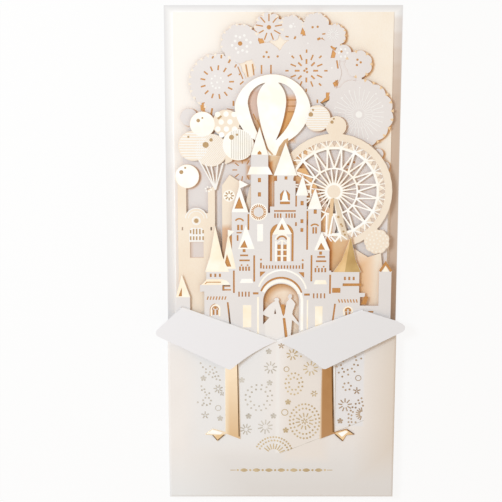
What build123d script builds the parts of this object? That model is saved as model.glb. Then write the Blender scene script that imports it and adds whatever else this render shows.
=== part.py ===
"""Pocket wedding invitation: a folded card pocket, an insert card and three laser-cut sheets on foam pads.

The card lies on its back. X runs to the right, Y to the top edge of the card and Z out of its front.
The artwork of the sheets is drawn in shares of the insert card's width, from the card's centre line
and from a base line just under the pocket's mouth.
"""

import os
from math import cos, degrees, hypot, radians, sin

from build123d import *

# Card folder
card_width = 108.0
card_height = 235.0
pocket_height = 78.8
folder_board = 0.4
bend_radius = 1.2
tab_clearance = 0.5

# Insert card and the layers glued on it
insert_border = 4.0
insert_top_margin = 3.0
insert_board = 0.4
sheet_board = 0.3
pad_height = 1.5
pad_side = 4.0
pocket_slip = 0.4
bottom_clearance = 0.5

# Mouth of the pocket: its lowest point, left of the centre line, and a slanting fold on each side
mouth_shift = 2.4
mouth_side_rise = 6.0
left_fold_run = 44.7
left_fold_rise = 16.5
right_fold_run = 40.3
right_fold_rise = 15.2

# Flaps turned out about the folds: corners past the fold's outer end or from the mouth, and out from the fold
flap_rise_angle = 9.0
flap_inner_skew = 16.1
flap_inner_depth = 20.3
flap_edge_bow = 1.2
flap_corner_radius = 2.0
left_tip_skew = 8.7
left_tip_depth = 16.3
right_shoulder_skew = 13.2
right_shoulder_depth = 10.2
right_tip_skew = 17.8
right_tip_depth = 15.5

# Base line of the artwork below the mouth's lowest point
artwork_drop = 1.8

# Ribbon strips on the pocket's front
ribbon_thickness = 0.5

# One overrun for the cuts that pass out of a solid
overrun = 5.0

# Heights of the layers above the table
insert_width = card_width - 2 * insert_border
insert_z = folder_board
rosette_pads_z = insert_z + insert_board
rosette_z = rosette_pads_z + pad_height
park_pads_z = rosette_z + sheet_board
park_z = park_pads_z + pad_height
castle_pads_z = park_z + sheet_board
castle_z = castle_pads_z + pad_height
front_z = castle_z + sheet_board + pocket_slip
front_top = front_z + folder_board

# Places along the card
card_bottom = -card_height / 2
card_side = card_width / 2
mouth_y = card_bottom + pocket_height
mouth_x = -mouth_shift
artwork_y = mouth_y - artwork_drop
insert_top = card_height / 2 - insert_top_margin
insert_bottom = card_bottom + folder_board + bottom_clearance


def spot(x_share, y_share):
    """Place on the artwork: shares of the insert's width from the centre line and the base line."""
    return (x_share * insert_width, artwork_y + y_share * insert_width)


def polar(centre, radius, angle):
    """Point at a radius and an angle in degrees about a centre."""
    return (centre[0] + radius * cos(radians(angle)), centre[1] + radius * sin(radians(angle)))


def shape(point_shares, mode=Mode.ADD):
    """Straight-sided shape through the given places."""
    Polygon(*[spot(x, y) for x, y in point_shares], align=None, mode=mode)


def block(left, right, bottom, top, mode=Mode.ADD):
    """Upright rectangle between two sides, a bottom and a top."""
    shape([(left, bottom), (right, bottom), (right, top), (left, top)], mode)


def windows(places, width_share, height_share, turn=0):
    """Equal rectangular cut-outs, by their centres."""
    with Locations(*[spot(x, y) for x, y in places]):
        Rectangle(width_share * insert_width, height_share * insert_width, rotation=turn, mode=Mode.SUBTRACT)


def rounds(places, radius_share, mode=Mode.SUBTRACT):
    """Equal round cut-outs or discs, by their centres."""
    with Locations(*[spot(x, y) for x, y in places]):
        Circle(radius_share * insert_width, mode=mode)


def dots(places, radius_share, sides=6):
    """Small many-sided pin holes, by their centres."""
    with Locations(*[spot(x, y) for x, y in places]):
        RegularPolygon(radius_share * insert_width, sides, mode=Mode.SUBTRACT)


def row(x_share, y_share, pitch_share, width_share, height_share, count, turn):
    """Row of equal rectangular cut-outs, from the centre of the first."""
    windows([(x_share + step * pitch_share, y_share) for step in range(count)], width_share, height_share, turn)


def band(arc_shares, width_share):
    """Curved slot of one width along an arc through three places."""
    with BuildLine() as edge:
        ThreePointArc(*[spot(x, y) for x, y in arc_shares])
    trace(edge.edges(), line_width=width_share * insert_width, mode=Mode.SUBTRACT)


def ring_of_arcs(point_shares, mode=Mode.ADD):
    """Closed outline of arcs, each through three places; every other place is the end of an arc."""
    points = [spot(x, y) for x, y in point_shares]
    with BuildLine() as edge:
        for start in range(0, len(points), 2):
            ThreePointArc(points[start], points[start + 1], points[(start + 2) % len(points)])
    make_face(edge.edges(), mode=mode)


def scallops(x_share, y_share, radius_share, depth_share, petals, turn=0):
    """Disc edged with scallops: one arc to a petal, from cusp to cusp over the petal's tip."""
    centre = spot(x_share, y_share)
    tip = radius_share * insert_width
    cusp = tip - depth_share * insert_width
    step = 360 / petals
    with BuildLine() as edge:
        for petal in range(petals):
            start = turn + petal * step
            ThreePointArc(
                polar(centre, cusp, start),
                polar(centre, tip, start + step / 2),
                polar(centre, cusp, start + step),
            )
    make_face(edge.edges())


def slot_ring(x_share, y_share, radius_share, length_share, width_share, count, turn):
    """Ring of equal slots that point at the centre of a rosette."""
    with Locations(spot(x_share, y_share)):
        with PolarLocations(radius_share * insert_width, count, start_angle=turn):
            Rectangle(length_share * insert_width, width_share * insert_width, mode=Mode.SUBTRACT)


def spire(left, right, base, apex_x, apex_y):
    """Pointed roof over a base line."""
    shape([(left, base), (right, base), (apex_x, apex_y)])


def pads(pad_shares, height):
    """One foam strip and square foam pads that stand on one layer and carry the next."""
    with BuildSketch(Plane.XY.offset(height)) as feet:
        with Locations(spot(0, strip_share)):
            Rectangle(strip_run_share * insert_width, pad_side)
        with Locations(*[spot(x, y) for x, y in pad_shares]):
            Rectangle(pad_side, pad_side)
    extrude(feet.sketch, amount=pad_height)


# Space inside the pocket, open at the mouth
with BuildPart() as pocket_space:
    with BuildSketch(Plane.XY.offset(folder_board)):
        with Locations((0, card_bottom + folder_board)):
            Rectangle(
                card_width - 2 * folder_board,
                pocket_height + max(left_fold_rise, right_fold_rise) + overrun,
                align=(Align.CENTER, Align.MIN),
            )
    extrude(amount=front_z - folder_board)
    front_face = pocket_space.faces().sort_by(Axis.Z)[-1]
    fillet(front_face.edges().sort_by(Axis.Y)[:-1], bend_radius - folder_board)

# Card folder: back panel, bottom and side walls, glue tabs, pocket front and two flaps of one sheet
with BuildPart() as pocket_folder:
    with BuildSketch():
        with BuildLine():
            Polyline(
                (-card_side, card_bottom),
                (card_side, card_bottom),
                (card_side, mouth_y + mouth_side_rise),
                (mouth_x + right_fold_run, mouth_y + right_fold_rise),
                (mouth_x, mouth_y),
                (mouth_x - left_fold_run, mouth_y + left_fold_rise),
                (-card_side, mouth_y + mouth_side_rise),
                close=True,
            )
        make_face()
    extrude(amount=front_top)
    outer_front = pocket_folder.faces().sort_by(Axis.Z)[-1]
    side_folds = outer_front.edges().filter_by(Axis.Y)
    bottom_fold = outer_front.edges().sort_by(Axis.Y)[0]
    fillet([*side_folds, bottom_fold], bend_radius)
    back_fold = pocket_folder.faces().sort_by(Axis.Z)[0].edges().sort_by(Axis.Y)[0]
    fillet(back_fold, bend_radius)
    add(pocket_space.part, mode=Mode.SUBTRACT)
    # Back panel above the pocket
    with BuildSketch():
        with Locations((0, mouth_y)):
            Rectangle(card_width, card_height - pocket_height, align=(Align.CENTER, Align.MIN))
    extrude(amount=folder_board)
    # Glue tabs that the side walls turn inwards, beside the insert
    tab_inner = insert_width / 2 + tab_clearance
    tab_width = card_side - tab_inner
    tab_length = pocket_height + mouth_side_rise - bend_radius
    with BuildSketch(Plane.XY.offset(folder_board)):
        for side in (-1, 1):
            with Locations((side * (tab_inner + tab_width / 2), card_bottom + bend_radius)):
                Rectangle(tab_width, tab_length, align=(Align.CENTER, Align.MIN))
    extrude(amount=folder_board)
    # Flaps, each turned forward about its slanting fold, with a round bead along the fold
    left_corners = [(left_tip_skew, left_tip_depth)]
    right_corners = [(right_shoulder_skew, right_shoulder_depth), (right_tip_skew, right_tip_depth)]
    for side, run, height, corners in (
        (-1, left_fold_run, left_fold_rise, left_corners),
        (1, right_fold_run, right_fold_rise, right_corners),
    ):
        fold_length = hypot(run, height)
        along = Vector(side * run, height, 0) / fold_length
        down = Vector(side * height, -run, 0) / fold_length
        rise = radians(flap_rise_angle)
        out = down * cos(rise) + Vector(0, 0, 1) * sin(rise)
        normal = along.cross(out) * -side
        hinge = Plane(origin=(mouth_x, mouth_y, front_top), x_dir=along, z_dir=normal)
        turn = -side
        inner_corner = (flap_inner_skew, turn * flap_inner_depth)
        with BuildSketch(hinge):
            with BuildLine():
                Polyline(
                    (0, 0),
                    (fold_length, 0),
                    *[(fold_length + skew, turn * depth) for skew, depth in corners],
                    inner_corner,
                )
                SagittaArc(inner_corner, (0, 0), turn * flap_edge_bow)
            make_face()
        flap = extrude(amount=folder_board)
        tips = flap.edges().filter_by(lambda edge: abs(edge.length - folder_board) < folder_board / 10)
        outer_tips = [edge for edge in tips if edge.center().Z > front_top + folder_board]
        fillet(outer_tips, flap_corner_radius)
        with BuildSketch(Plane(origin=(mouth_x, mouth_y, front_top), z_dir=along)):
            Circle(folder_board)
        extrude(amount=fold_length)

# Insert card: the plain cream board that carries the layers and slides in the pocket
with BuildPart() as insert_card:
    with BuildSketch(Plane.XY.offset(insert_z)):
        with Locations((0, insert_bottom)):
            Rectangle(insert_width, insert_top - insert_bottom, align=(Align.CENTER, Align.MIN))
    extrude(amount=insert_board)

# Rosette sheet: flower heads over a plain panel that runs down into the pocket
rosette_panel_shares = [
    (-0.46, -0.08), (0.49, -0.08), (0.49, 0.80), (0.43, 0.92), (0.36, 1.00), (0.30, 1.08), (0.22, 1.10),
    (0.10, 1.20), (0.02, 1.31), (-0.12, 1.31), (-0.14, 1.26), (-0.19, 1.25), (-0.22, 1.20), (-0.30, 1.15),
    (-0.41, 1.08), (-0.46, 0.94),
]
rosette_bridge_shares = [(0.333, 1.235), (0.358, 1.235), (0.358, 1.268), (0.333, 1.268)]
# Scalloped flower heads: centre, radius, depth of the scallops, petals and turn
rosette_shares = [
    (-0.300, 1.235, 0.130, 0.0070, 15, 0),
    (-0.195, 1.410, 0.089, 0.0070, 9, 10),
    (-0.065, 1.483, 0.067, 0.0100, 9, 0),
    (-0.077, 1.350, 0.066, 0.0035, 7, 0),
    (0.035, 1.478, 0.061, 0.0080, 7, 0),
    (0.147, 1.488, 0.062, 0.0080, 7, 0),
    (0.230, 1.446, 0.055, 0.0080, 7, 0),
    (0.106, 1.287, 0.159, 0.0080, 11, 10),
    (0.343, 1.317, 0.063, 0.0080, 7, 0),
    (0.347, 1.090, 0.160, 0.0110, 12, 5),
]
# Small round flower heads: centre and radius
bud_shares = [
    (0.272, 1.368, 0.037), (-0.180, 0.830, 0.075), (0.440, 0.905, 0.024), (0.468, 0.845, 0.026),
    (-0.430, 1.075, 0.040),
]
# Rings of slots: centre, radius, length, width, count and turn
slot_ring_shares = [
    (-0.300, 1.235, 0.066, 0.022, 0.007, 13, 2),
    (0.106, 1.287, 0.042, 0.022, 0.008, 8, 0),
]
petal_slit_shares = [(-0.098, 1.293), (-0.055, 1.294)]
petal_slit_size_shares = (0.007, 0.040)
gap_shares = [
    [(0.077, 1.452), (0.092, 1.449), (0.094, 1.470), (0.086, 1.482)],
    [(0.215, 1.345), (0.234, 1.345), (0.239, 1.366), (0.224, 1.385)],
    [(0.240, 1.334), (0.247, 1.334), (0.253, 1.297), (0.246, 1.297)],
    [(0.226, 1.232), (0.252, 1.248), (0.245, 1.222), (0.236, 1.210)],
    [(0.196, 1.188), (0.214, 1.188), (0.206, 1.160), (0.180, 1.145), (0.196, 1.158)],
    [(-0.372, 1.140), (-0.356, 1.144), (-0.362, 1.132), (-0.354, 1.098), (-0.368, 1.098)],
]
with BuildPart() as rosette_sheet:
    with BuildSketch(Plane.XY.offset(rosette_z)):
        shape(rosette_panel_shares)
        shape(rosette_bridge_shares)
        for rosette in rosette_shares:
            scallops(*rosette)
        for x_share, y_share, radius_share in bud_shares:
            rounds([(x_share, y_share)], radius_share, Mode.ADD)
        for ring in slot_ring_shares:
            slot_ring(*ring)
        windows(petal_slit_shares, *petal_slit_size_shares)
        for gap in gap_shares:
            shape(gap, Mode.SUBTRACT)
    extrude(amount=sheet_board)

# Park sheet: left houses, balloons, hot-air balloon, big wheel and tree on one low panel
wheel_share = (0.237, 0.732)
wheel_rim_share = 0.270
wheel_bay_share = 0.236
wheel_ring_share = 0.201
wheel_inner_ring_share = 0.108
wheel_hub_share = 0.040
wheel_bar_share = 0.0085
wheel_spokes = 24
wheel_nodes = 20
leg_shares = [(0.2045, 0.625), (0.2745, 0.625), (0.315, 0.440), (0.185, 0.440)]
leg_cut_shares = [
    [(0.237, 0.620), (0.228, 0.535), (0.268, 0.535)],
    [(0.232, 0.518), (0.270, 0.518), (0.250, 0.498)],
]
right_panel_shares = [
    (0.18, -0.08), (0.49, -0.08), (0.49, 0.18), (0.46, 0.44), (0.40, 0.42), (0.32, 0.47), (0.18, 0.47),
]
tree_shares = (0.440, 0.495, 0.060, 0.005)
tree_lobes = 9
houses_shares = [
    (-0.485, -0.080), (-0.200, -0.080), (-0.200, 0.780), (-0.245, 0.810), (-0.280, 0.760), (-0.280, 0.420),
    (-0.285, 0.420), (-0.313, 0.570), (-0.313, 0.760), (-0.345, 0.740), (-0.345, 0.630), (-0.446, 0.630),
    (-0.446, 0.790), (-0.485, 0.790),
]
gable_shares = [(-0.400, 0.605)]
gable_radius_share = 0.050
doorway_shares = (-0.430, -0.367, 0.418, 0.492)
# Windows of the houses: width, height and centres
house_window_shares = [
    (0.007, 0.016, [(-0.465, 0.556), (-0.331, 0.556)]),
]
gable_eye_shares = [(-0.400, 0.594)]
gable_eye_radius_share = 0.010
centre_panel_shares = [
    (-0.22, -0.08), (0.22, -0.08), (0.22, 0.44), (0.115, 0.50), (0.02, 0.60), (-0.013, 0.70), (-0.013, 0.76),
    (0.005, 0.82), (-0.005, 0.93), (-0.10, 0.95), (-0.14, 0.80), (-0.19, 0.60), (-0.22, 0.44),
]
# Balloons: centre and radius
balloon_shares = [
    (-0.368, 1.045, 0.058), (-0.260, 1.050, 0.062), (-0.410, 0.945, 0.070), (-0.330, 0.925, 0.076),
    (-0.205, 0.950, 0.073), (0.157, 1.072, 0.060), (0.243, 1.035, 0.047), (-0.441, 0.803, 0.056),
]
balloon_knot_shares = [(-0.266, 0.860), (-0.236, 0.872), (-0.226, 0.890), (-0.262, 0.910)]
string_shares = [(-0.385, 0.880), (-0.355, 0.860), (-0.330, 0.855), (-0.300, 0.860), (-0.275, 0.865)]
knot_share = (-0.310, 0.740)
string_width_share = 0.007
envelope_top_shares = [(-0.220, 1.130), (-0.048, 1.273), (0.124, 1.130)]
envelope_right_shares = [(0.124, 1.130), (0.095, 1.035), (0.013, 0.963)]
envelope_left_shares = [(-0.110, 0.963), (-0.192, 1.035), (-0.220, 1.130)]
envelope_mouth_shares = [(0.013, 0.963), (-0.015, 0.900), (-0.085, 0.900), (-0.110, 0.963)]
envelope_opening_shares = [
    [
        (-0.080, 1.235), (-0.145, 1.193), (-0.161, 1.140), (-0.130, 1.035), (-0.060, 0.915), (-0.098, 1.030),
        (-0.118, 1.140), (-0.112, 1.188),
    ],
    [
        (-0.023, 1.236), (0.039, 1.204), (0.062, 1.145), (0.030, 1.050), (-0.033, 0.970), (0.000, 1.060),
        (0.014, 1.140), (0.008, 1.188),
    ],
]
with BuildPart() as park_sheet:
    with BuildSketch(Plane.XY.offset(park_z)):
        # Big wheel: rim of straight stretches, and rings with open bays between spokes and zigzag struts
        bar = wheel_bar_share * insert_width
        bay_out = wheel_bay_share * insert_width
        bay_in = wheel_ring_share * insert_width + bar
        ring = wheel_ring_share * insert_width - bar / 2
        inner_ring = wheel_inner_ring_share * insert_width + bar / 2
        spoke_end = inner_ring - bar
        hub = wheel_hub_share * insert_width
        pitch = radians(360 / wheel_nodes)
        spoke_pitch = radians(360 / wheel_spokes)
        with Locations(spot(*wheel_share)):
            RegularPolygon(wheel_rim_share * insert_width, 2 * wheel_nodes)
            with PolarLocations(0, wheel_spokes):
                half_open = (spoke_end * spoke_pitch - bar * 2 / 3) / 2
                Polygon((hub, 0), (spoke_end, -half_open), (spoke_end, half_open), align=None, mode=Mode.SUBTRACT)
            with PolarLocations(0, wheel_nodes):
                wide_half = (ring * pitch - bar) / 2
                Polygon(
                    (inner_ring + bar, 0), (ring, -wide_half), (ring, wide_half), align=None, mode=Mode.SUBTRACT
                )
            with PolarLocations(0, wheel_nodes, start_angle=degrees(pitch / 2)):
                narrow_half = (inner_ring * pitch - bar) / 2
                Polygon(
                    (ring - 2 * bar, 0), (inner_ring, -narrow_half), (inner_ring, narrow_half), align=None,
                    mode=Mode.SUBTRACT,
                )
            with PolarLocations(0, 2 * wheel_nodes):
                bay_half = (bay_out * pitch - bar) / 4
                Polygon((bay_in, 0), (bay_out, -bay_half), (bay_out, bay_half), align=None, mode=Mode.SUBTRACT)
        # Legs of the wheel, with the panel they stand on
        shape(leg_shares)
        for cut in leg_cut_shares:
            shape(cut, Mode.SUBTRACT)
        shape(right_panel_shares)
        # Tree at the wheel's right foot
        scallops(*tree_shares, tree_lobes)
        # Houses on the left with a round gable
        shape(houses_shares)
        rounds(gable_shares, gable_radius_share, Mode.ADD)
        block(*doorway_shares, Mode.SUBTRACT)
        for width_share, height_share, places in house_window_shares:
            windows(places, width_share, height_share)
        dots(gable_eye_shares, gable_eye_radius_share)
        # Panel behind the castle
        shape(centre_panel_shares)
        # Balloons and their strings
        for x_share, y_share, radius_share in balloon_shares:
            rounds([(x_share, y_share)], radius_share, Mode.ADD)
        shape(balloon_knot_shares)
        for x_share, y_share in string_shares:
            half = string_width_share / 2
            shape([
                (x_share - half, y_share),
                (knot_share[0] - half, knot_share[1]),
                (knot_share[0] + half, knot_share[1]),
                (x_share + half, y_share),
            ])
        # Hot-air balloon: a round envelope drawn in to its mouth, with two long side openings
        with BuildLine() as envelope:
            for arc in (envelope_top_shares, envelope_right_shares, envelope_left_shares):
                ThreePointArc(*[spot(x, y) for x, y in arc])
            Polyline(*[spot(x, y) for x, y in envelope_mouth_shares])
        make_face(envelope.edges())
        for opening in envelope_opening_shares:
            ring_of_arcs(opening, Mode.SUBTRACT)
    extrude(amount=sheet_board)

# Castle sheet: towers, spires and gate with a couple, cut from one sheet down into the pocket
# Walls: left, right, bottom and top
wall_shares = [
    (-0.498, 0.510, -0.080, 0.150), (-0.498, -0.432, 0.100, 0.230), (-0.365, -0.238, 0.100, 0.265),
    (-0.385, -0.238, 0.258, 0.292), (-0.355, -0.238, 0.290, 0.356), (-0.240, 0.228, 0.100, 0.360),
    (-0.275, -0.220, 0.280, 0.375), (-0.208, -0.130, 0.300, 0.462), (-0.235, -0.140, 0.300, 0.637),
    (-0.146, -0.067, 0.300, 0.815), (-0.146, -0.067, 0.850, 0.906), (-0.150, 0.120, 0.300, 0.635),
    (-0.058, 0.112, 0.600, 0.665), (-0.038, 0.059, 0.600, 0.785), (-0.026, 0.049, 0.780, 0.812),
    (0.066, 0.111, 0.600, 0.720), (0.112, 0.178, 0.300, 0.652), (0.140, 0.219, 0.300, 0.459),
    (0.228, 0.365, 0.100, 0.250), (0.236, 0.388, 0.232, 0.252), (0.226, 0.360, 0.240, 0.353),
    (0.360, 0.456, 0.100, 0.190), (0.452, 0.510, 0.100, 0.355),
]
# Pointed roofs: left, right and height of the base, then the apex
spire_shares = [
    (-0.500, -0.430, 0.230, -0.470, 0.342), (-0.280, -0.215, 0.368, -0.251, 0.545),
    (-0.237, -0.158, 0.637, -0.199, 0.765), (-0.207, -0.128, 0.462, -0.170, 0.580),
    (-0.147, -0.067, 0.906, -0.107, 1.035), (-0.042, 0.066, 0.810, 0.013, 0.965),
    (0.060, 0.119, 0.716, 0.092, 0.816), (0.115, 0.184, 0.652, 0.150, 0.753),
    (0.147, 0.221, 0.456, 0.183, 0.548), (0.450, 0.513, 0.353, 0.483, 0.408),
]
cone_shares = [(-0.362, -0.246, 0.353, -0.312, 0.575), (0.236, 0.369, 0.352, 0.317, 0.525)]
flag_shares = [
    [(-0.201, 0.750), (-0.196, 0.750), (-0.158, 0.768), (-0.196, 0.788), (-0.201, 0.788)],
    [(-0.254, 0.520), (-0.249, 0.520), (-0.222, 0.548), (-0.254, 0.556)],
]
cornice_shares = [(-0.163, 0.814), (-0.046, 0.814), (-0.066, 0.852), (-0.149, 0.852)]
clock_shares = [(-0.111, 0.639)]
clock_radius_share = 0.041
# Pointed and slanting openings
cut_shares = [
    [(-0.470, 0.278), (-0.486, 0.236), (-0.470, 0.236)],
    [(-0.258, 0.439), (-0.272, 0.379), (-0.238, 0.379)],
    [(-0.200, 0.712), (-0.222, 0.655), (-0.181, 0.655)],
    [(-0.176, 0.506), (-0.196, 0.470), (-0.162, 0.470)],
    [(0.180, 0.494), (0.163, 0.459), (0.199, 0.459)],
    [(-0.003, 0.586), (-0.016, 0.555), (0.010, 0.555)],
    [(-0.104, 0.355), (-0.078, 0.355), (-0.104, 0.329)],
    [(0.076, 0.352), (0.102, 0.352), (0.102, 0.325)],
    [(-0.250, 0.516), (-0.240, 0.524), (-0.2345, 0.524), (-0.2345, 0.443), (-0.242, 0.443)],
    [(-0.2595, 0.207), (-0.2515, 0.207), (-0.2395, 0.090), (-0.2475, 0.090)],
    [(0.2445, 0.199), (0.2525, 0.199), (0.2415, 0.107), (0.2335, 0.107)],
    [(-0.280, 0.290), (-0.243, 0.290), (-0.243, 0.282), (-0.271, 0.282), (-0.271, 0.263), (-0.280, 0.263)],
    [(-0.012, 0.694), (-0.012, 0.723), (0.005, 0.743), (0.005, 0.730), (-0.001, 0.715), (-0.004, 0.694)],
    [(0.034, 0.694), (0.034, 0.723), (0.017, 0.743), (0.017, 0.730), (0.023, 0.715), (0.026, 0.694)],
    [(-0.012, 0.676), (0.034, 0.676), (0.034, 0.688), (-0.012, 0.688)],
]
# Windows and slots: width, height and centres
castle_window_shares = [
    (0.014, 0.020, [(-0.107, 0.789), (-0.107, 0.722), (0.151, 0.641), (0.090, 0.681)]),
    (0.013, 0.018, [(0.090, 0.596), (0.090, 0.554)]),
    (0.013, 0.015, [(0.015, 0.799), (0.178, 0.444), (-0.178, 0.456)]),
    (0.037, 0.008, [(-0.178, 0.433), (0.181, 0.426), (0.254, 0.266)]),
    (0.048, 0.008, [(-0.176, 0.409), (0.181, 0.405)]),
    (0.010, 0.025, [(-0.205, 0.566), (-0.189, 0.566)]),
    (0.024, 0.006, [(-0.201, 0.541), (0.417, 0.161)]),
    (0.008, 0.030, [(0.143, 0.552), (0.156, 0.552)]),
    (0.009, 0.026, [(-0.322, 0.158), (-0.305, 0.158), (0.302, 0.146), (0.317, 0.146)]),
    (0.008, 0.027, [(-0.0995, 0.384), (0.095, 0.381), (-0.208, 0.516)]),
    (0.008, 0.018, [(-0.469, 0.175), (0.0625, 0.582)]),
    (0.026, 0.010, [(-0.124, 0.250), (0.116, 0.244)]),
    (0.070, 0.007, [(-0.316, 0.305)]),
    (0.070, 0.012, [(0.318, 0.292)]),
    (0.100, 0.007, [(0.011, 0.644)]),
    (0.008, 0.075, [(-0.158, 0.592)]),
    (0.008, 0.126, [(-0.131, 0.370), (0.136, 0.371)]),
    (0.008, 0.108, [(-0.226, 0.306)]),
    (0.008, 0.092, [(0.224, 0.294)]),
    (0.008, 0.184, [(0.115, 0.552)]),
]
# Rows of windows: first centre, pitch, width, height, count and turn
castle_row_shares = [
    (-0.0350, 0.622, 0.0131, 0.0070, 0.021, 3, 0),
    (0.0174, 0.622, 0.0131, 0.0070, 0.021, 4, 0),
    (-0.0155, 0.416, 0.0275, 0.0150, 0.021, 2, 0),
    (-0.0155, 0.445, 0.0275, 0.0150, 0.021, 2, 0),
    (-0.0155, 0.474, 0.0275, 0.0150, 0.021, 2, 0),
    (-0.0870, 0.377, 0.0139, 0.0065, 0.016, 13, 0),
    (-0.1970, 0.369, 0.0140, 0.0080, 0.020, 4, 0),
    (0.1550, 0.362, 0.0153, 0.0080, 0.020, 4, 0),
    (-0.3340, 0.337, 0.0215, 0.0090, 0.016, 3, 0),
    (0.2930, 0.322, 0.0205, 0.0090, 0.016, 3, 0),
    (-0.2020, 0.246, 0.0155, 0.0065, 0.024, 4, 0),
    (0.1480, 0.238, 0.0168, 0.0065, 0.024, 4, 0),
]
# Curved slots: width and the three places of the arc
band_shares = [
    (0.009, [(-0.0985, 0.260), (-0.003, 0.3255), (0.090, 0.253)]),
    (0.008, [(-0.0240, 0.508), (-0.002, 0.524), (0.020, 0.508)]),
]
# Niches beside the long window: foot, side, spring, crown and the way back down
niche_shares = [
    [(-0.048, 0.405), (-0.0575, 0.405), (-0.0575, 0.535), (-0.046, 0.568), (-0.022, 0.583), (-0.034, 0.546),
     (-0.048, 0.528)],
    [(0.042, 0.405), (0.052, 0.405), (0.052, 0.533), (0.041, 0.567), (0.019, 0.583), (0.030, 0.545),
     (0.042, 0.528)],
]
gate_left_share = -0.089
gate_right_share = 0.079
gate_spring_share = 0.217
gate_top_share = 0.297
bride_shares = [
    (gate_left_share, 0.160), (-0.062, 0.192), (-0.045, 0.206), (-0.034, 0.212), (-0.038, 0.222),
    (-0.030, 0.230), (-0.019, 0.229), (-0.014, 0.220), (-0.017, 0.212), (-0.012, 0.196), (-0.004, 0.172),
    (0.000, 0.152), (0.007, 0.138),
]
groom_shares = [
    (0.013, 0.152), (0.016, 0.178), (0.021, 0.208), (0.031, 0.222), (0.027, 0.236), (0.033, 0.247),
    (0.043, 0.246), (0.047, 0.235), (0.042, 0.224), (0.054, 0.212), (0.062, 0.198), (0.050, 0.163),
    (0.048, 0.148), (gate_right_share, 0.106),
]
figure_gap_shares = [
    [(gate_left_share, 0.146), (-0.060, 0.132), (gate_left_share, 0.099)],
    [(0.003, 0.130), (0.015, 0.130), (0.028, 0.032), (0.014, 0.030)],
    [(0.047, 0.120), (gate_right_share, 0.093), (gate_right_share, 0.053), (0.041, 0.037)],
    [(-0.033, 0.178), (-0.028, 0.150), (-0.037, 0.150)],
]
with BuildPart() as castle_sheet:
    with BuildSketch(Plane.XY.offset(castle_z)):
        for wall in wall_shares:
            block(*wall)
        for roof in spire_shares:
            spire(*roof)
        shape(cornice_shares)
        for flag in flag_shares:
            shape(flag)
        rounds(clock_shares, clock_radius_share, Mode.ADD)
        # Flared cone roofs of the two round houses
        for left, right, base, apex_x, apex_y in cone_shares:
            waist_y = base + (apex_y - base) / 3
            waist_left = (left + apex_x) / 2
            waist_right = (right + apex_x) / 2
            shape([(left, base), (right, base), (waist_right, waist_y), (apex_x, apex_y), (waist_left, waist_y)])
        # Windows, slots and the openings of the roofs
        for cut in cut_shares + figure_gap_shares:
            shape(cut, Mode.SUBTRACT)
        for width_share, height_share, places in castle_window_shares:
            windows(places, width_share, height_share)
        for window_row in castle_row_shares:
            row(*window_row)
        for width_share, arc_shares in band_shares:
            band(arc_shares, width_share)
        # Niches with a curved head
        for niche in niche_shares:
            foot, side_foot, spring, crown, tip, *back = [spot(x, y) for x, y in niche]
            with BuildLine() as niche_edge:
                Polyline(tip, *back, foot, side_foot, spring)
                ThreePointArc(spring, crown, tip)
            make_face(niche_edge.edges(), mode=Mode.SUBTRACT)
        # Gate arch, cut round the couple who stand in it
        with BuildLine() as gate:
            Line(spot(*bride_shares[0]), spot(gate_left_share, gate_spring_share))
            ThreePointArc(
                spot(gate_left_share, gate_spring_share),
                spot((gate_left_share + gate_right_share) / 2, gate_top_share),
                spot(gate_right_share, gate_spring_share),
            )
            Line(spot(gate_right_share, gate_spring_share), spot(*groom_shares[-1]))
            Polyline(*[spot(x, y) for x, y in (bride_shares + groom_shares)[::-1]])
        make_face(gate.edges(), mode=Mode.SUBTRACT)
    extrude(amount=sheet_board)

# Gold ribbon strips down the drawn box, each with a notched tail turned out at its foot
ribbon_strip_shares = [(-0.268, -0.020), (-0.268, -0.441), (-0.198, -0.469), (-0.208, -0.020)]
ribbon_tail_shares = [
    (-0.262, -0.437), (-0.272, -0.446), (-0.309, -0.481), (-0.326, -0.450), (-0.366, -0.446), (-0.329, -0.418),
]
with BuildPart() as ribbon_left:
    with BuildSketch(Plane.XY.offset(front_top)):
        shape(ribbon_strip_shares)
        shape(ribbon_tail_shares)
    extrude(amount=ribbon_thickness)
ribbon_shift_share = -0.016
with BuildPart() as ribbon_right:
    with BuildSketch(Plane.XY.offset(front_top)):
        shape([(-x + ribbon_shift_share, y) for x, y in ribbon_strip_shares])
        shape([(-x + ribbon_shift_share, y) for x, y in ribbon_tail_shares])
    extrude(amount=ribbon_thickness)

# Foam between the layers: one strip inside the pocket and pads above it
strip_share = -0.02
strip_run_share = 0.84
rosette_pad_shares = [(-0.40, 0.50), (0.26, 0.40), (-0.30, 1.05), (0.30, 1.12)]
park_pad_shares = [(-0.24, 0.55), (0.26, 0.40), (-0.32, 0.88), (-0.06, 0.82)]
castle_pad_shares = [(-0.105, 0.54), (0.08, 0.48)]
with BuildPart() as rosette_pads:
    pads(rosette_pad_shares, rosette_pads_z)
with BuildPart() as park_pads:
    pads(park_pad_shares, park_pads_z)
with BuildPart() as castle_pads:
    pads(castle_pad_shares, castle_pads_z)

os.makedirs("parts", exist_ok=True)
pieces = {
    "pocket_folder": pocket_folder,
    "insert_card": insert_card,
    "rosette_pads": rosette_pads,
    "rosette_sheet": rosette_sheet,
    "park_pads": park_pads,
    "park_sheet": park_sheet,
    "castle_pads": castle_pads,
    "castle_sheet": castle_sheet,
    "ribbon_left": ribbon_left,
    "ribbon_right": ribbon_right,
}
for name, piece in pieces.items():
    piece.part.label = name
    export_step(piece.part, f"parts/{name}.step")
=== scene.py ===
import math

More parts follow.
